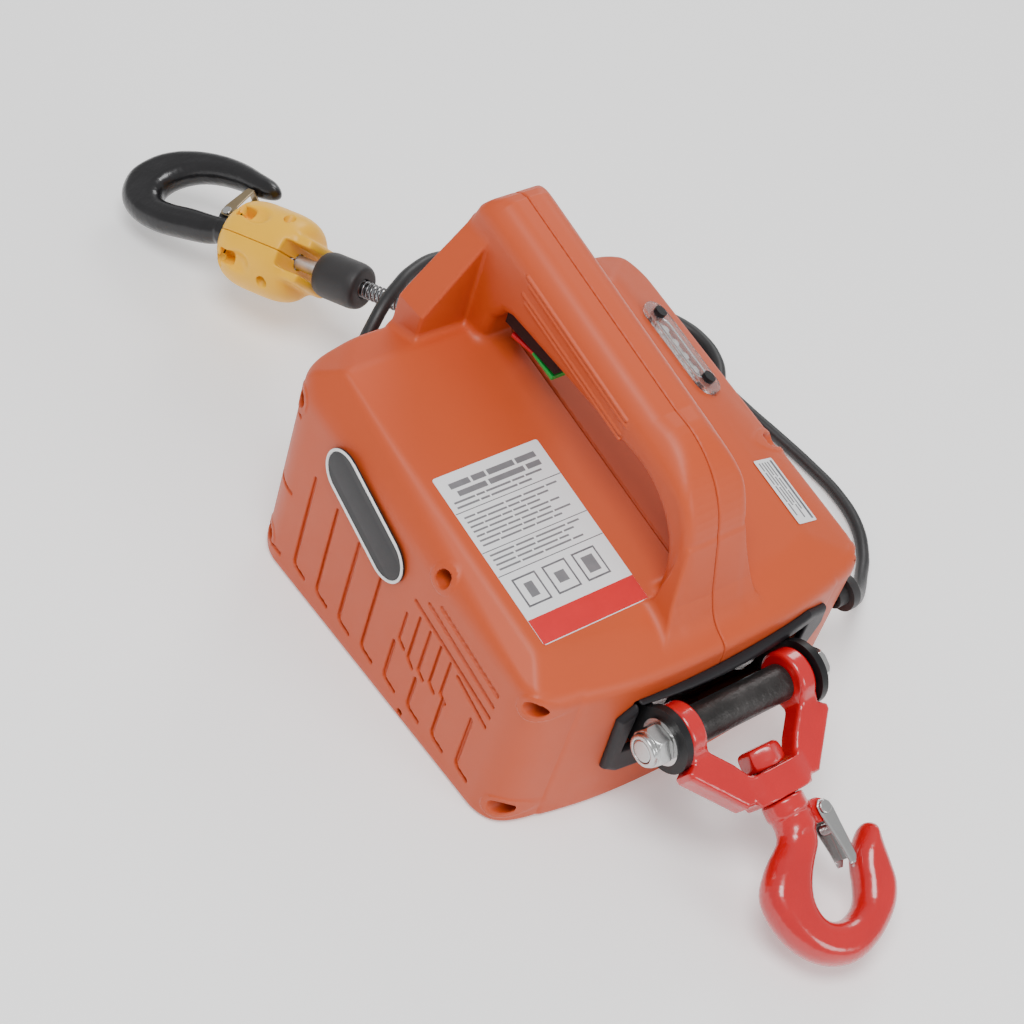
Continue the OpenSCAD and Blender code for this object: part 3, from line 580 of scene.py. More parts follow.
def ease(a, lo, hi):
    """A smooth step from 0 to 1 as a goes from lo to hi."""
    t = min(max((a - lo) / (hi - lo), 0), 1)
    return t * t * (3 - 2 * t)


def coil_points():
    """Four and a quarter turns of cord lying in a coil: outer, inner and again outer turns."""
    out = []
    for a in range(90, 1620, 20):
        r = R_OUT + (R_IN - R_OUT) * (ease(a, 410, 460) - ease(a, 1070, 1120))
        z = 4 + 7.8 * (ease(a, 742, 788) + ease(a, 1402, 1448))
        turn = math.radians(a)
        out.append([COIL_AT[0] + r * math.cos(turn), COIL_AT[1] + r * math.sin(turn), z])
    return out


def make_cord():
    points = cord_route + coil_points() + tail_route
    curve = bpy.data.curves.new("power_lead", "CURVE")
    curve.dimensions = "3D"
    curve.bevel_depth = CORD_D / 2 * MM
    curve.bevel_resolution = 6
    curve.resolution_u = 8
    curve.use_fill_caps = True
    line = curve.splines.new("BEZIER")
    line.bezier_points.add(len(points) - 1)
    for b, p in zip(line.bezier_points, points):
        b.co = Vector(p) * MM
        b.handle_left_type = b.handle_right_type = "AUTO"
    obj = bpy.data.objects.new("power_lead", curve)
    bpy.context.scene.collection.objects.link(obj)
    curve.materials.append(FINISH["cord_rubber"])
    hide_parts("power_cord", "cord_coil", "cord_tail")
    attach(obj, "hoist_body")
    return obj


lead = make_cord()


def make_plug():
    """The moulded mains plug with a ribbed boot and two blades, hanging pins down."""
    place = Place(rot("Z", 30) @ rot("X", 180), PLUG_AT)

    def field(x, y, z):
        body = box_field(x, y, z, (0, 0, 17.4), (10, 9, 7.6), 3.2)
        radius = np.sqrt(x * x + y * y)
        waist = smax(radius - 8.2, np.abs(z - 18) - 4, 1)
        boot = np.maximum(radius - (4.6 + 0.17 * (z - 0.1)), np.maximum(0.1 - z, z - 12))
        boot = boot + 0.35 * np.maximum(0, np.sin(z * 2.1)) * (z < 10)
        grip = smin(smin(body, waist, 1.5), boot, 2.0)
        pins = np.minimum(box_field(x, y, z, (-6.4, 0, 31.5), (0.8, 3.15, 7.5), 0.5),
                          box_field(x, y, z, (6.4, 0, 31.5), (0.8, 3.15, 7.5), 0.5))
        return np.minimum(grip, pins)

    obj = carve("plug_moulding", field, (-11, -10, 0), (11, 10, 39.5), 0.45, place,
                "hoist_body", "cord_rubber", ("mains_plug",), most=60000)
    obj.data.materials.append(FINISH["zinc"])
    for poly in obj.data.polygons:
        if poly.center.z < (PLUG_AT[2] - 25.2) * MM:
            poly.material_index = 1
    return obj


plug = make_plug()


def make_gland():
    """The cord's tapered and ribbed strain relief."""
    start = np.array([97, 111, 56.0])
    way = np.array(cord_route[0], float) - start
    length = 22.5
    profile = [(-0.8, 3.8), (-0.8, 6.2)]
    for i in range(6):
        a = 3.0 + i * 3.0
        r = 6.2 - 1.55 * a / length
        profile += [(a, r), (a + 0.35, r - 0.75), (a + 1.25, r - 0.8), (a + 1.6, r - 0.12)]
    profile += [(length - 0.6, 4.72), (length, 4.4), (length, 3.8)]
    lathe("strain_relief", profile, WORLD, start, way, 48, "hoist_body", "bumper_rubber", ("cord_gland",))
    ring = rounded([(0, 3.9), (0, 6.3), (6.2, 6.3, 0), (6.2, 10.0, 0), (12, 10.0, 1.6), (12, 5.0, 1),
                    (8, 3.9)], 0.4)
    lathe("gland_flange", ring, WORLD, (97, 104, 56), ALONG_Y, 64, "hoist_body", "bumper_rubber")


make_gland()


# ---------------------------------------------------------------- housing

HALF_L, HALF_W, CORNER, WALL = 108.5, 110, 24, 3
GRIP_W, GRIP_Z, BEVEL = 40, 207, 8
GRIP_FALL = math.atan2(GRIP_Z - 180, 126)
SCREWS = [(25, 103), (98, 88), (-96, 12), (99, 12), (-97, 108)]


def arc(cx, cy, r, a0, a1, n):
    return [[cx + r * math.cos(math.radians(a0 + (a1 - a0) * i / n)),
             cy + r * math.sin(math.radians(a0 + (a1 - a0) * i / n))] for i in range(n + 1)]


handle_out = polygon_field([[-108, 80], [-108, 150], [-105, 190], [-102.5, 198], [-99, 203], [-95, 205.8],
                            [-90, 207], [36, 180]] + arc(36, 130, 50, 80, 12, 14)
                           + [[94, 112], [104, 92], [106, 78]])
handle_hole = polygon_field([[-75, 80], [-75, 135], [-72, 150], [-66, 159], [-60, 161], [34, 158]]
                            + arc(34, 116, 42, 80, 0, 14) + [[77, 80]])
rear_wing = polygon_field([[-52, 90], [-50, 147], [-17, 190], [17, 190], [50, 147], [52, 90]])
front_wing = polygon_field([[-36, 76], [-18, 140], [18, 140], [36, 76]])


def hull_planes(points):
    """Outward planes of the convex hull of a few points, upper ones only."""
    p = np.array(points, float)
    planes = []
    for a, b, c in combinations(p, 3):
        w = np.cross(b - a, c - a)
        size = np.linalg.norm(w)
        if size < 1e-6:
            continue
        w /= size
        if w[2] < 0:
            w = -w
        off = w @ a
        if w[2] < 0.05 or (p @ w).max() > off + 1e-3:
            continue
        if not any(np.abs(q[0] - w).max() < 0.02 and abs(q[1] - off) < 1.0 for q in planes):
            planes.append((w, off))
    return planes


ROOF = hull_planes([[-84, -96, deck_at(-84)], [-84, 75, deck_at(-84)], [90, 60, deck_at(90)],
                    [90, -60, deck_at(90)], [82, -96, deck_at(82)], [84, 75, deck_at(84)],
                    [-109, -110, 115.4], [-109, -72, 127], [-109, 72, 127], [-109, 110, 120],
                    [109, -110, 91.2], [116, -40, 91.5], [116, 40, 91.5], [109, 110, 89],
                    [-130, -116, -1], [-130, 116, -1], [130, -116, -1], [130, 116, -1]])


def plan_field(x, y):
    """The housing's outline from above: a rounded box with a bowed front."""
    qx, qy = np.abs(x - 3.75) - 112.25, np.abs(y) - (HALF_W - CORNER)
    middle = np.maximum(qx, qy)
    qx, qy = np.abs(x) - HALF_L + CORNER, np.abs(y) - HALF_W + CORNER
    round_box = np.hypot(np.maximum(qx, 0), np.maximum(qy, 0)) + np.minimum(np.maximum(qx, qy), 0) - CORNER
    return smax(np.minimum(middle, round_box), np.hypot(x + 286, y) - 402, 5)


def outer_field(x, y, z):
    """The outside of the whole housing: body, handle and the handle's two feet."""
    plan = plan_field(x, y)
    roof = None
    for w, off in ROOF:
        d = w[0] * x + w[1] * y + w[2] * z - off
        roof = d if roof is None else smax(roof, d, 1.6)
    body = smax(smax(plan, roof, 5), -z, 3)
    profile = handle_out(x, z)
    ring = smax(profile, -handle_hole(x, z), 3)
    handle = smax(ring, np.abs(y) - GRIP_W / 2, 6)
    top = (x + 90) * math.sin(GRIP_FALL) + (z - GRIP_Z) * math.cos(GRIP_FALL)
    handle = smax(handle, (np.abs(y) - GRIP_W / 2 + top + BEVEL) / math.sqrt(2), 4)
    wing = smax(smax(rear_wing(y, z), np.abs(x + 98) - 10, 1.8), profile, 1.8)
    foot = smax(smax(front_wing(y, z), np.abs(x - 94) - 12, 1.8), profile, 1.8)
    whole = smin(smin(smin(handle, wing, 2), foot, 2.5), body, 4.5)
    return np.maximum(whole, plan)


# grooves of the near side: long legs with a foot, short steps, slanting stripes, and the handle's raised ribs
LEGS = [(-70.5, 14, 77.5), (-50.5, 14, 74.5), (-30.5, 14, 70.5), (-10.5, 14.5, 66), (9.5, 14, 41),
        (29.8, 13.5, 34.5), (50, 14, 40.5), (70, 14.5, 49.5)]
STEPS = [(12, 46, 64.5), (20.8, 41, 70.5), (29.5, 41.5, 69.6), (38.5, 42, 68.4), (47.2, 43.5, 66)]
STRIPES = [((15, 76.9), (79, 62.4)), ((23.4, 83.4), (79, 70.3)), ((31.5, 89.1), (79, 78.5)),
           ((54, 63.6), (78.7, 54.8))]
RIBS = [((-58, 190.2), (26, 172.2)), ((-55, 186.6), (27, 169.1)), ((-57, 179.6), (25, 162.6)),
        ((-54, 176.1), (26, 159.6))]


def least(fields):
    return reduce(np.minimum, fields)


def groove_field(x, z):
    cuts = []
    for gx, low, top in LEGS:
        chain = [(gx, top), (gx, low + 2.6), (gx + 0.8, low + 0.7), (gx + 2.6, low - 0.3),
                 (gx + 9.3, low - 1.6)]
        cuts.append(line_field(x, z, chain) - 1.15)
    for gx, low, top in STEPS:
        cuts.append(line_field(x, z, [(gx, top), (gx, low), (gx + 4.5, low - 2.8)]) - 0.95)
    return least(cuts + [line_field(x, z, chain) - 1.15 for chain in STRIPES])


def lamp_local(x, y, z):
    r = LAMP.turn
    dx, dy, dz = x - LAMP.at[0], y - LAMP.at[1], z - LAMP.at[2]
    return [r[0, k] * dx + r[1, k] * dy + r[2, k] * dz for k in range(3)]


def stadium_field(u, v, length, d):
    return np.hypot(np.maximum(np.abs(u) - length / 2, 0), v) - d / 2


def half_field(side):
    """One half of the housing as a shell: side is -1 for the near half and 1 for the far one."""

    def field(x, y, z):
        outer = outer_field(x, y, z)
        if side < 0:
            cut = np.maximum(groove_field(x, z), y + 108.1)
            outer = smax(outer, -cut, 0.6)
            plan = plan_field(x, y)
            for level, stop in ((99.5, -92), (53, -84), (9.5, -82)):
                band = np.maximum(np.abs(z - level) - 1.0, x - stop)
                lip = np.maximum(band, np.maximum(y + 84, -(plan + 1.1)))
                outer = smax(outer, -lip, 0.9)
            rib = least(line_field(x, z, chain) for chain in RIBS)
            outer = smin(outer, np.hypot(rib, y + 19.75) - 0.85, 0.8)
        shell = smax(outer, -(outer + WALL), 0.6)
        for px, pz in SCREWS:
            post = np.maximum(np.hypot(x - px, z - pz) - 7, outer)
            shell = smin(shell, post, 2.0)
        for px, pz in SCREWS:
            d = np.hypot(x - px, z - pz)
            if side < 0:
                shell = smax(shell, -np.maximum(d - 4.5, y + 10), 0.8)
                shell = np.maximum(shell, -(d - 2.3))
            else:
                shell = smax(shell, -np.maximum(d - 4.5, 99 - y), 0.8)
                shell = np.maximum(shell, -np.maximum(d - 1.8, y - 20))
        if side < 0:
            shell = smax(shell, -np.maximum(np.hypot(x - 26.5, z - 4.2) - 1.9, y + 104), 0.6)
        front = box_field(x, y, z, (112, 4, 61.5), (12, 56, 17.5), 1)
        shell = smax(shell, -front, 0.6)
        shell = smax(shell, -np.maximum(np.hypot(y - GUIDE_Y, z - GUIDE_Z) - 13.2, x + 95), 0.6)
        shell = smax(shell, -box_field(x, y, z, (-48, 0, 156.5), (20, 14, 8.5), 1.5), 0.8)
        if side > 0:
            u, v, w = lamp_local(x, y, z)
            shell = smax(shell, -np.maximum(stadium_field(u, v, 30, 10), np.abs(w) - 6), 0.6)
            seat = np.maximum(stadium_field(u, v, 44, 17.9), -w)
            shell = smax(shell, -np.maximum(seat, w - 6), 0.5)
            for hole in (-22, 22):
                shell = np.maximum(shell, -np.maximum(np.hypot(u - hole, v) - 1.65, np.abs(w) - 5))
            shell = smax(shell, -np.maximum(np.hypot(x - 97, z - 56) - 6.4, 100 - y), 0.5)
        return smax(shell, 0.11 - side * y, 1.1)

    return field


PITCH = 1.2
NEAR_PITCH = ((0.85, 1.25, 0.85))
carve("housing_near_shell", half_field(-1), (-109.5, -110.5, 0), (117, 0, 208), NEAR_PITCH, WORLD,
      "hoist_body", "orange_shell", ("housing_near",))
carve("housing_far_shell", half_field(1), (-109.5, 0, 0), (117, 110.5, 208), PITCH, WORLD,
      "hoist_body", "orange_shell", ("housing_far",))


# ---------------------------------------------------------------- labels and badge


def plate(name, place, half, top, slot, node, marks, r=1.5):
    """A thin rounded sheet with flat printed marks (x, y, width, height, material) on its face."""
    hx, hy = half
    outline = []
    for sx, sy, a0 in ((1, 1, 0), (-1, 1, 90), (-1, -1, 180), (1, -1, 270)):
        for k in range(6):
            a = math.radians(a0 + 18 * k)
            outline.append((sx * (hx - r) + r * math.cos(a), sy * (hy - r) + r * math.sin(a)))
    n = len(outline)
    low, high = top - 0.25, top
    pts = [(u, v, low) for u, v in outline] + [(u, v, high - 0.08) for u, v in outline]
    pts += [(u * (1 - 0.12 / hx), v * (1 - 0.12 / hy), high) for u, v in outline]
    faces = []
    for ring in (0, n):
        faces += [(ring + k, ring + (k + 1) % n, ring + n + (k + 1) % n, ring + n + k) for k in range(n)]
    faces.append(tuple(range(n - 1, -1, -1)))
    faces.append(tuple(range(2 * n, 3 * n)))
    mats = [0] * len(faces)
    palette = [FINISH[slot], PRINT_GREY, PRINT_RULE, PRINT_RED]
    white = [m for m in marks if m[4] == 0]
    over = {m[:2] for m in marks
            if m[4] == 1 and any(a < m[0] < a + c and b < m[1] < b + d for a, b, c, d, _ in white)}
    for mx, my, mw, mh, which in marks:
        base = len(pts)
        z = high + (0.06 if which == 0 else 0.09 if (mx, my) in over else 0.03)
        pts += [(mx, my, z), (mx + mw, my, z), (mx + mw, my + mh, z), (mx, my + mh, z)]
        faces.append((base, base + 1, base + 2, base + 3))
        mats.append(which)
    mesh = bpy.data.meshes.new(name)
    mesh.from_pydata(place.out(pts).tolist(), [], faces)
    obj = show(name, mesh, "hoist_body", slot, (node,))
    for m in palette[1:]:
        obj.data.materials.append(m)
    obj.data.polygons.foreach_set("material_index", mats)
    obj.data.update()
    return obj


def text_rows(x0, x1, y, height, blocks, which=1):
    """A row of plain bars of uneven length that stands for printed matter."""
    out, total, at = [], sum(blocks) + 0.35 * (len(blocks) - 1), x0
    unit = (x1 - x0) / total
    for b in blocks:
        out.append((at, y, b * unit, height, which))
        at += (b + 0.35) * unit
    return out


def turned(rows):
    """Marks laid out along Y turned to run across the sheet."""
    return [(y, x, h, w, m) for x, y, w, h, m in rows]


def rule(at):
    return (at, -31.8, 0.5, 63.6, 2)


SIGNS = ((-27, (17, -22.5, 8, 5)), (-9, (18, -5, 6, 6)), (9, (16.5, 12.5, 9, 7)))
label_marks = [(34.5, -31.9, 13.6, 63.8, 3)]
label_marks += turned(text_rows(-26, 26, -43.2, 3.2, [3, 2, 4, 3]))
label_marks += turned(text_rows(-24, 26, -38.2, 3.0, [4, 5, 2]))
for i, at in enumerate((-33.4, -30.6)):
    label_marks += turned(text_rows(-29, 24 - 8 * i, at, 1.1, [5, 2, 6, 3, 4][: 5 - i]))
label_marks.append(rule(-27.6))
for i in range(7):
    words = [2 + (i * 3) % 4, 5, 3, 4, 2 + i % 3]
    label_marks += turned(text_rows(-29, 27 - (i * 7) % 17, -24.6 + 2.7 * i, 1.0, words))
label_marks.append(rule(-4.6))
for i in range(4):
    words = [4, 3 + i % 2, 5, 2]
    label_marks += turned(text_rows(-29, 25 - (i * 5) % 12, -2.4 + 2.7 * i, 1.0, words))
label_marks.append(rule(9.2))
for at, shape in SIGNS:
    label_marks += [(13, at, 16, 14, 2), (14, at + 1, 14, 12, 0), (*shape, 1)]
plate("printed_label", LABEL, (48.5, 32), 0.3, "label_white", "safety_label", label_marks)
rating_marks = [(-18.5, 4.6, 37, 1.8, 2)]
RATING_ROWS = ((12, 1.8, [4, 3, 5]), (17, -0.6, [3, 6, 3]), (9, -3.0, [5, 4]), (15, -5.6, [2, 3, 4, 3]))
for end, at, words in RATING_ROWS:
    rating_marks += text_rows(-18, end, at, 1.1, words)
plate("rating_plate", RATING, (20, 8), 0.45, "label_white", "rating_label", rating_marks, 1.0)


def centres_of(obj):
    """The centre of each face, in metres."""
    c = np.zeros(len(obj.data.polygons) * 3, np.float32)
    obj.data.polygons.foreach_get("center", c)
    return c.reshape(-1, 3)


def make_badge():
    """The blank name badge: a domed black field inside a raised white rim."""
    length = 43.5

    def rim_line(x, y):
        return np.abs(stadium_field(x, y, length, 26.4))

    def field(x, y, z):
        body = smax(stadium_field(x, y, length, 28), np.abs(z - 0.55) - 0.6, 0.3)
        rim = smax(rim_line(x, y) - 0.75, np.abs(z - 0.9) - 0.9, 0.6)
        dome = smax(stadium_field(x, y, length, 24), z - 1.35 + 0.0035 * y * y, 0.4)
        dome = np.maximum(dome, 0.2 - z)
        return np.minimum(np.minimum(body, rim), dome)

    obj = carve("badge_plate", field, (-36.5, -14.5, 0), (36.5, 14.5, 2), 0.32, BADGE, "hoist_body", "badge",
                ("name_badge",), most=90000)
    obj.data.materials.append(RIM)
    local = (centres_of(obj) / MM - BADGE.at) @ BADGE.turn
    white = (rim_line(local[:, 0], local[:, 1]) < 0.82) & (local[:, 2] > 1.05)
    obj.data.polygons.foreach_set("material_index", white.astype(np.int32))


make_badge()


# ---------------------------------------------------------------- front bezel


def make_bezel():
    """The black frame round the front opening, bowed like the housing's front."""
    outline = polygon_field([[-58, 32], [-50, 27], [56, 27], [78, 68], [76, 80], [60, 86], [0, 82],
                             [-50, 80], [-60, 70]])

    def field(x, y, z):
        bowed = smax(outline(y, z), np.hypot(x + 282, y) - 402, 3.0)
        out = smax(bowed, -plan_field(x, y), 0.5)
        opening = np.maximum(np.abs(y - 4) - 55, np.abs(z - 61.75) - 16.75)
        return smax(out, -opening, 1.6)

    carve("bezel_rim", field, (98, -61, 25), (121, 79, 87), 0.75, WORLD,
          "hoist_body", "black_plastic", ("front_bezel",), most=120000)


make_bezel()


# ---------------------------------------------------------------- front hook set


def make_yoke():
    arm = polygon_field([[0, 31], [0, 41], [16, 41.5], [19, 46], [22, 45.8], [46, 24], [46, 8], [32, 15],
                         [24, 20.5], [13, 30.5]])

    def field(x, y, z):
        ay = np.abs(y)
        out = smax(arm(x, ay), np.abs(z) - 7.2, 3.2)
        eye = smax(np.hypot(x, z) - 15, np.abs(ay - 36) - 5, 2.5)
        boss = smax(box_field(x, y, z, (41.5, 0, 0), (7.5, 17, 10), 1.2),
                    (np.abs(z) + ay * 0.55 - 16.3) / 1.14, 2)
        whole = smin(smin(out, eye, 3.0), boss, 3.0)
        whole = smax(whole, -(np.hypot(x, z) - 6.1), 0.8)
        return smax(whole, -(np.hypot(y, z) - 7.1), 0.8)

    carve("yoke_forging", field, (-15.5, -46.5, -15.5), (50, 46.5, 15.5), 0.62, YOKE,
          "yoke", "hook_red", ("front_yoke",), most=150000)


def hexagon(a, b):
    """Distance from the axis, as felt by the flats of a hexagon whose first flat faces a."""
    return np.maximum(np.abs(a), np.abs(a) * 0.5 + np.abs(b) * 0.8660254)


def hook_section(d, z, r, half):
    """Rounded section for a forged hook: d is the outline's distance, z the offset from its middle plane."""
    return np.sqrt(np.maximum(0, d + r) ** 2 + (z * r / half) ** 2) - r


FRONT_HOOK = [[50, -8], [56, -9.6], [65, -10.4], [74, -24], [84, -34], [96, -36.5], [110, -33.5], [122, -26],
              [130, -15], [133, -2], [129.5, 13.5], [121, 28.5], [111, 36.5], [101, 39], [91, 40.5], [82, 42],
              [78.5, 38], [81, 32], [87, 25], [94, 20.5], [102, 17], [109, 12], [112.5, 3], [111.5, -5],
              [107, -10.5], [99, -11.5], [91, -8], [83, -1.5], [76, 5.5], [67, 9], [56, 9.6], [50, 8]]
FRONT_PIVOT = (62, 16)


def make_front_hook():
    outline = polygon_field(spline_through(FRONT_HOOK, 4))

    def field(x, y, z):
        d = outline(x, y)
        waist = 7.2 + 2.8 * np.clip((x - 62) / 18, 0, 1)
        waist = waist - 2.6 * np.clip((44 - np.hypot(x - 110, y - 2)) / -22, 0, 1) * (y > 20)
        body = hook_section(d, z, 8.0, waist)
        lug = smax(np.hypot(x - 62, y - 14) - 6, np.abs(z) - 4.5, 1.2)
        shank = rod_field(y, z, x, 7, 26, 56)
        collar = rod_field(y, z, x, 11, 49.4, 57.6, 2.0)
        neck = rod_field(y, z, x, 8.6, 55, 66, 2)
        out = smin(smin(smin(body, lug, 3), neck, 5), smin(shank, collar, 0.5), 2)
        return np.maximum(out, -(np.hypot(x - FRONT_PIVOT[0], y - FRONT_PIVOT[1]) - 2.05))

    carve("hook_forging_front", field, (25.5, -37.5, -11.5), (134, 43, 11.5), 0.66, YOKE,
          "front_swivel_hook", "hook_red", ("front_hook",), most=170000)

    def nut(x, y, z):
        a = hexagon(y, z) - 9.9
        ball = np.sqrt((x - 28.1) ** 2 * 1.6 + y * y + z * z) - 12.2
        out = smax(smax(a, ball, 2.5), np.abs(x - 28.1) - 5.6, 2.0)
        return np.maximum(out, -np.maximum(np.hypot(y, z) - 7.0, 25.9 - x))

    carve("hook_nut_front", nut, (22, -12, -12), (34, 12, 12), 0.5, YOKE, "front_swivel_hook", "hook_red",
          ("front_hook_nut",), most=60000)


make_yoke()
make_front_hook()


def make_front_latch():
    """The pressed steel safety latch: a folded channel with a rounded pivot end and a lipped tip."""
    cheek = polygon_field([[57.6, 14.6], [58.2, 18.5], [60.5, 20.8], [64, 21.5], [89, 21.5], [92.5, 19],
                           [92, 15.6], [84, 15.2], [70, 13.2], [64, 12.2], [60, 12.4]])

    def field(x, y, z):
        d = cheek(x, y) - 0.1
        out = smax(d, np.abs(z) - 6.3, 1.6)
        inside = np.abs(z) - 5.1
        hollow = np.maximum(np.maximum(inside, y - 20.35), d - 6)
        open_end = np.maximum(inside, x - 68)
        tip = np.maximum(inside, 89.5 - x)
        for gap in (hollow, open_end, tip):
            out = smax(out, -gap, 0.5)
        rib = smax(np.hypot(y - 21.2, z) - 1.1, np.abs(x - 79) - 7, 1)
        bore = np.hypot(x - FRONT_PIVOT[0], y - FRONT_PIVOT[1]) - 2.0
        return np.maximum(smin(out, rib, 0.6), -bore)

    carve("latch_pressing_front", field, (57, 11.8, -6.6), (93.2, 22.6, 6.6), 0.42, YOKE,
          "front_safety_latch", "zinc", ("front_latch",), most=90000)
    turns = helix(6.5, 2.45, -3.9, 3.9, close=0.6, wire=0.45)
    path = np.stack([72.6 + turns[:, 1], 17.2 + turns[:, 2], turns[:, 0]], 1)
    sweep("latch_coil_front", path, 0.45, 8, "front_safety_latch", "zinc", ("front_latch_spring",),
          place=YOKE)
    profile = rounded([(-8, 0.01, 0), (-8, 3.25, 0.7), (-7, 3.25, 0.2), (-7, 2.0, 0), (7, 2.0, 0),
                       (7, 3.25, 0.2), (8, 3.25, 0.7), (8, 0.01, 0)], 0.2)
    lathe("latch_rivet_front", profile, YOKE, (*FRONT_PIVOT, 0), ALONG_Z, 40, "front_safety_latch", "zinc",
          ("front_latch_pin",))


make_front_latch()


def make_bolt_parts():
    """The spacer tube, the lock nut with its insert and the threaded end of the cross bolt."""
    tube = rounded([(-30.6, 6.05), (-30.6, 9.5), (30.6, 9.5), (30.6, 6.05)], 0.5)
    lathe("spacer_sleeve", tube, WORLD, BOLT_AT, ALONG_Y, 64, "hoist_body", "grey_steel", ("spacer_tube",))

    def nut(x, y, z):
        d = np.hypot(x, z)
        a = hexagon(z, x) - 9.35
        cone = (d + 0.6 * (y - 11.7) - 9.7) / 1.17
        hexa = smax(smax(a, 3.0 - y, 0.4), smax(y - 11.7, cone, 0.4), 0.3)
        collar = smax(d - 8.5, np.abs(y - 2.2) - 2.2, 1.4)
        hexa = smax(hexa, (d - 0.6 * (y - 3.0) - 9.6) / 1.17, 0.4)
        return smax(smin(hexa, collar, 0.4), -(d - 6.0), 0.4)

    spot = Place(None, (BOLT_AT[0], -60, BOLT_AT[2]))
    carve("nut_body", nut, (-11, 0, -11), (11, 11.8, 11), 0.42, spot, "hoist_body", "zinc", ("lock_nut",),
          most=90000)
    ring = rounded([(0.6, 6.02), (0.6, 7.4), (2.0, 7.4), (2.0, 6.02)], 0.3)
    lathe("nut_insert", ring, spot, (0, -0.35, 0), ALONG_Y, 48, "hoist_body", "zinc", material=NYLON)

    def bolt(x, y, z):
        d = np.hypot(x, z)
        thread = 0.35 * (0.5 + 0.5 * np.sin(2 * np.pi * y / 1.75 - np.arctan2(z, x)))
        shaft = smax(d - 6.0 + np.where(y < -20, thread, 0), np.abs(y + 5.85) - 54.15, 0.8)
        a = hexagon(x, z) - 9.05
        head = smax(smax(a, np.abs(y - 52.05) - 3.75, 0.4), (d + 0.6 * (y - 55.8) - 9.3) / 1.17, 0.4)
        return smin(shaft, head, 0.5)

    carve("bolt_body", bolt, (-10.8, -60.2, -10.8), (10.8, 56, 10.8), 0.5,
          Place(None, BOLT_AT), "hoist_body", "zinc", ("cross_bolt",), most=120000)


make_bolt_parts()


# ---------------------------------------------------------------- rope, bumper and limit spring


LAY = 33
PAY_OUT, REST_RUN = 400, 3.2


def on_line(s):
    """Points at distances s along the local X axis."""
    return np.stack([s, 0 * s, 0 * s], 1)


def make_rope():
    """The wire rope from the drum's guide to the block, and the pieces threaded on it.

    The last 3.2 mm before the bend stretch as rope pays out, so they hold the lay of 400 mm more.
    """
    start, turn_at, stop = -38.4, -114, -117.2
    near, paid = np.linspace(start, turn_at, 100), np.linspace(turn_at, stop, 220)[1:]
    x = np.r_[near, paid]
    run = np.stack([x, 0 * x + GUIDE_Y, 0 * x + GUIDE_Z], 1)
    paid_turns = (turn_at - paid) / REST_RUN * PAY_OUT / LAY
    turns = np.r_[(start - near) / LAY, (start - turn_at) / LAY + paid_turns]
    laid = dict(lobes=6, depth=0.2)
    obj = sweep("rope_through_guide", run, 2.5, 36, None, "rope_steel", ("rope_run",), turns=turns, **laid)
    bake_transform(obj)
    straight = on_line(np.linspace(16, 128.0, 150)) @ ROPE.turn.T + ROPE.at
    a, b, c = np.array([-117.0, 21, 83]), np.array([-119.6, 21, 83.0]), straight[0]
    t = np.linspace(0, 1, 14)[:, None]
    bend = (1 - t) ** 2 * a + 2 * t * (1 - t) * b + t * t * c
    obj = sweep("rope_to_block", np.concatenate([bend[:-1], straight]), 2.5, 36, None, "rope_steel",
                ("rope_bend", "rope_lead"), twist=1 / LAY, **laid)
    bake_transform(obj)

    path = helix(25.5, 4.2, 23, 86.6, per_turn=20, close=1.5, wire=1.3)
    sweep("limit_coil", path, 0.66, 9, "rope_block", "zinc", ("limit_spring",), place=ROPE, material=SPRING)
    bumper = rounded([(82, 5.3, 0.6), (82, 11.6, 3.2), (86.5, 13.0, 5), (105.5, 13.0, 5), (110, 11.6, 3.2),
                      (110, 2.8, 0.5), (87, 2.8, 0.3), (87, 5.2, 0.3)], 0.5)
    lathe("bumper_moulding", bumper, ROPE, ORIGIN, ALONG_X, 96, "rope_block", "bumper_rubber",
          ("rubber_bumper",))
    sweep("rope_binding", on_line(np.linspace(110.3, 127.7, 40)), 4.2, 72, "rope_block", "rope_steel",
          twist=1 / 14, lobes=14, depth=0.28, place=ROPE, material=BINDING)
    ferrule = rounded([(128.2, 2.7, 0), (128.2, 6.6, 0.8), (129.8, 7.0, 0.8), (149, 7.0, 0.8),
                       (150.2, 6.4, 0.6), (150.2, 0.01, 0), (131.2, 0.01, 0), (131.2, 2.7, 0)], 0.3)
    lathe("ferrule_swaged", ferrule, ROPE, ORIGIN, ALONG_X, 48, "rope_block", "zinc", ("rope_ferrule",))


make_rope()


# ---------------------------------------------------------------- hook block and rear hook


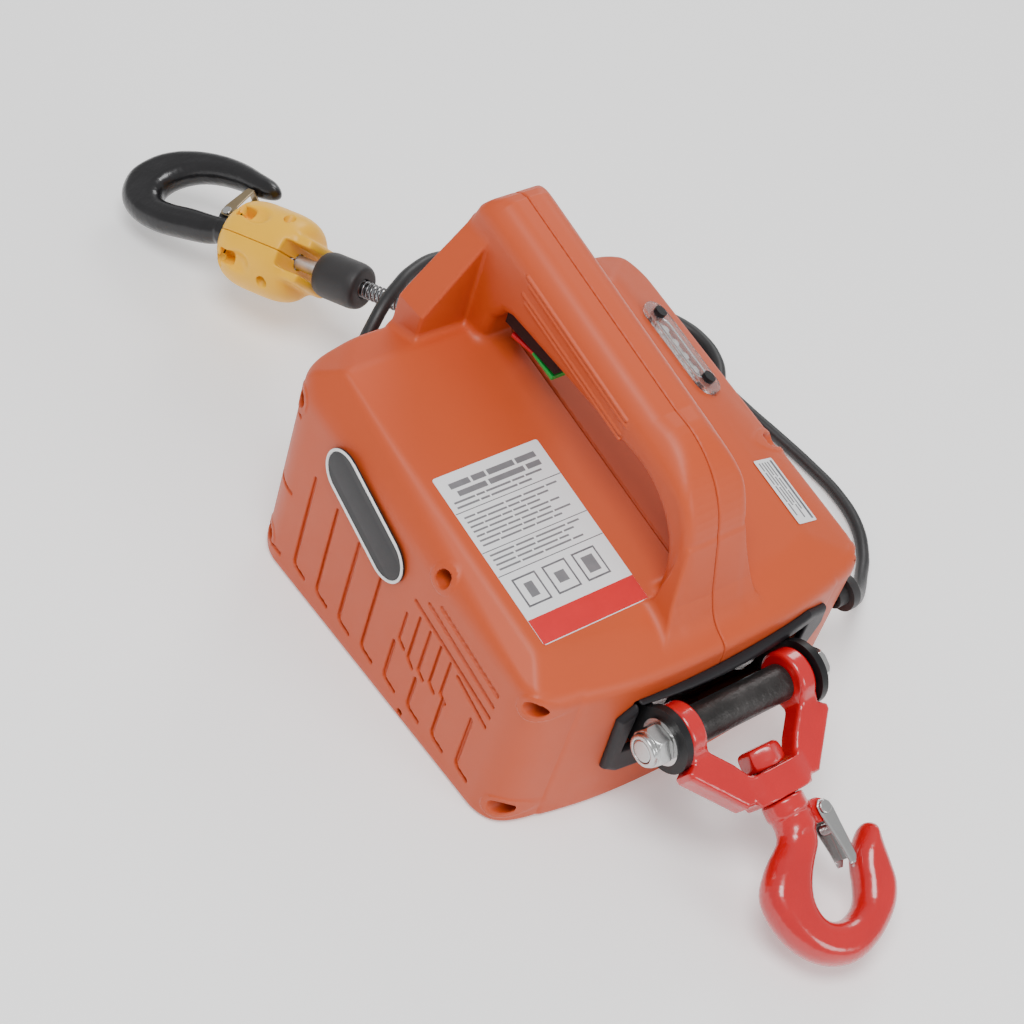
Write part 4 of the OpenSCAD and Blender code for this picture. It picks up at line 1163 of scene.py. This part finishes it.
def block_field(side):
    """One half of the hook block, with its bores, windows, scoops and screw holes."""

    def field(x, y, z):
        d = np.hypot(y, z)
        ball = np.sqrt((x - 146) ** 2 + d * d) - 31
        body = smax(smax(d - 24.9, np.abs(x - 146) - 26, 4), ball, 6)
        snout = smax(box_field(x, y, z, (121, 0, 0), (8.5, 13, 17.5), 2.2), ball - 8, 4)
        body = smin(body, snout, 2.5)
        body = smax(body, -box_field(x, y, z, (116, 0, 0), (11, 7.8, 40), 1.2), 1.2)
        for lo, hi, r in ((127.8, 150.8, 9), (150, 162.6, 13.3), (108, 140, 4.5), (160, 190, 8.3)):
            body = smax(body, -rod_field(y, z, x, r, lo, hi), 0.6)
        for a in (-35, 35):
            c, w = math.cos(math.radians(a)), math.sin(math.radians(a))
            for flip in (-1, 1):
                up, across = (c * z + w * y) * flip, c * y - w * z
                window = box_field(x, across, up, (159.5, 0, 24), (4.5, 4, 10), 1.0)
                scoop = np.sqrt((x - 151) ** 2 / 1.3 + (across * 1.1) ** 2 + (up - 29.5) ** 2) - 8.5
                body = smax(smax(body, -window, 1.0), -scoop, 2.0)
        for s in (134, 166):
            for q in (-15, 15):
                bore = np.hypot(x - s, z - q)
                body = np.maximum(body, -(bore - 1.6))
                body = smax(body, -np.maximum(bore - 3.1, 12.2 - np.abs(y)), 0.5)
        return smax(body, 0.1 - side * y, 0.9)

    return field


for side, name, node in ((1, "block_half_near", "block_near"), (-1, "block_half_far", "block_far")):
    low, high = (-25, 0) if side < 0 else (0, 25)
    carve(name, block_field(side), (112.4, low, -25), (172.2, high, 25), 0.62, BLOCK,
          "rope_block", "block_yellow", (node,), most=110000)


REAR_HOOK = [[172, -5.6], [180, -6], [190, -10], [206, -13], [222, -15], [238, -13.5], [250, -8], [257, 1],
             [259, 13], [253, 26], [243, 35], [230, 41], [214, 44.5], [198, 45], [184, 43], [173, 41],
             [167, 36.5], [170, 32], [180, 30], [194, 30], [208, 28.5], [220, 24.5], [229, 17], [232, 9],
             [228, 3.5], [218, 3], [205, 5], [192, 6], [180, 7], [172, 6]]
REAR_PIVOT = (184, 10)


def make_rear_hook():
    """The rear hook, its swivel collar, and its latch with the rivet."""
    outline = polygon_field(spline_through(REAR_HOOK, 4))

    def field(x, y, z):
        half = 8.5 - 2.3 * np.clip((190 - x) / 24, 0, 1) * (y > 20)
        body = hook_section(outline(x, y), z, 7.2, half)
        lug = smax(np.hypot(x - 184, y - 9) - 5.3, np.abs(z) - 3.9, 1.2)
        shank = rod_field(y, z, x, 6, 152, 186, 0.8)
        neck = rod_field(y, z, x, 7.5, 172.6, 182, 1.5)
        out = smin(smin(smin(body, lug, 0.8), neck, 2), shank, 1.5)
        return np.maximum(out, -(np.hypot(x - REAR_PIVOT[0], y - REAR_PIVOT[1]) - 1.8))

    carve("hook_forging_rear", field, (151.5, -16, -9.5), (260, 46, 9.5), 0.62, REAR,
          "rear_swivel_hook", "hook_dark", ("rear_hook",), most=150000)
    swivel = rounded([(150.3, 6.06), (150.3, 13), (162.3, 13), (162.3, 6.06)], 0.8)
    lathe("swivel_collar", swivel, ROPE, ORIGIN, ALONG_X, 72, "rear_swivel_hook", "zinc", ("block_swivel",))

    cheek = polygon_field([[179.2, 9], [180.6, 15], [178.8, 28], [179.2, 29.4], [183.6, 29.4], [184.4, 28],
                           [188.2, 14], [188.4, 9], [186.6, 7.2], [181.4, 7.2]])

    def latch(x, y, z):
        out = smax(cheek(x, y) - 0.05, np.abs(z) - 5.6, 1.2)
        hollow = np.maximum(np.abs(z) - 4.6, y - 28.1)
        bore = np.hypot(x - REAR_PIVOT[0], y - REAR_PIVOT[1]) - 1.75
        return np.maximum(smax(out, -hollow, 0.4), -bore)

    carve("latch_pressing_rear", latch, (178.4, 6.8, -5.8), (188.8, 29.8, 5.8), 0.36, REAR,
          "rear_safety_latch", "latch_bronze", ("rear_latch",), most=70000)
    pin = rounded([(-7, 0.01, 0), (-7, 2.6, 0.6), (-6.0, 2.6, 0.1), (-6.0, 1.75, 0), (6.0, 1.75, 0),
                   (6.0, 2.6, 0.1), (7, 2.6, 0.6), (7, 0.01, 0)], 0.2)
    lathe("latch_rivet_rear", pin, REAR, (*REAR_PIVOT, 0), ALONG_Z, 32, "rear_safety_latch", "zinc",
          ("rear_latch_pin",))


make_rear_hook()


def make_rocker():
    """The red and green rocker of the handle switch, with a lip under the black frame."""
    inner = polygon_field([[-15, -2], [-15, -9.5], [0, -6.5], [15, -9.5], [15, -2], [4, 3], [-4, 3]])
    lip = polygon_field([[-16.5, -9.2], [-16.5, -12], [0, -9.4], [16.5, -12], [16.5, -9.2], [0, -7.4]])

    def field(x, y, z):
        core = smax(inner(x, z), np.abs(y) - 10.3, 1.0)
        under = smax(lip(x, z), np.abs(y) - 13.4, 1.2)
        return smin(core, under, 0.4)

    obj = carve("rocker_moulding", field, (-16.6, -13.5, -12.1), (16.6, 13.5, 3.1), 0.55,
                Place(None, (-46, 0, 156)), "rocker", "rocker_plastic", ("switch_rocker",), most=60000)
    obj.data.materials.append(ROCKER_RED)
    red = centres_of(obj)[:, 0] < -46 * MM
    obj.data.polygons.foreach_set("material_index", red.astype(np.int32))


make_rocker()


# ---------------------------------------------------------------- finishes of the other CAD nodes

SLOT_OF = {row["node"]: row["material_slot"] for row in frame["record"]["subparts"]}
BEVELS = {"hook_bracket": 0.5, "bolt_washers": 0.35, "rope_guide": 0.7, "limit_plate": 0.3,
          "switch_body": 1.2, "lamp_lens": 0.7, "lamp_screws": 0.7, "bracket_bolts": 0.6,
          "housing_screws": 0.4, "gearbox_case": 0.6, "gearbox_cover": 0.6, "frame_plate": 0.4,
          "frame_beam": 0.4, "motor_can": 0.8, "control_board": 0.3, "limit_switch": 0.5, "block_screws": 0.3}
for name, obj in NODES.items():
    if obj.hide_render:
        continue
    slot = SLOT_OF[name]
    obj.data.materials.clear()
    obj.data.materials.append(FINISH[slot])
    if name in BEVELS:
        mod = obj.modifiers.new("soft_edges", "BEVEL")
        mod.width = BEVELS[name] * MM
        mod.segments = 2
        mod.limit_method = "ANGLE"
        mod.angle_limit = math.radians(40)
        mod.harden_normals = False


# ---------------------------------------------------------------- floor, world and lights


def make_floor():
    mesh = bpy.data.meshes.new("floor")
    r = 6.0
    mesh.from_pydata([(-r, -r, 0), (r, -r, 0), (r, r, 0), (-r, r, 0)], [], [(0, 1, 2, 3)])
    obj = bpy.data.objects.new("floor", mesh)
    obj.location.z = -0.0005
    bpy.context.scene.collection.objects.link(obj)
    m = finish_of("floor_paper", (0.9, 0.9, 0.9), 0.9, grain=(300, 0.02), vary=(2, 0.005), specular=0.05)
    put(m.node_tree.nodes["Principled BSDF"], Emission_Color=(1, 1, 1, 1), Emission_Strength=0.3)
    mesh.materials.append(m)


def make_light(name, at, aim, size, power, color=(1, 1, 1)):
    data = bpy.data.lights.new(name, "AREA")
    data.shape = "DISK"
    data.size = size
    data.energy = power
    data.color = color
    obj = bpy.data.objects.new(name, data)
    bpy.context.scene.collection.objects.link(obj)
    obj.location = at
    obj.rotation_mode = "QUATERNION"
    obj.rotation_quaternion = (Vector(aim) - Vector(at)).to_track_quat("-Z", "Y")


make_floor()
world = bpy.data.worlds.new("studio")
bpy.context.scene.world = world
world.use_nodes = True
put(world.node_tree.nodes["Background"], Color=(1, 1, 1, 1), Strength=0.62)
make_light("key", (0.2, -0.5, 1.6), (0, 0, 0.1), 0.8, 22)
make_light("side", (1.4, 0.3, 0.8), (0.05, 0, 0.08), 0.6, 7)
make_light("back", (-0.9, 1.2, 1.1), (0, 0, 0.1), 0.7, 8)
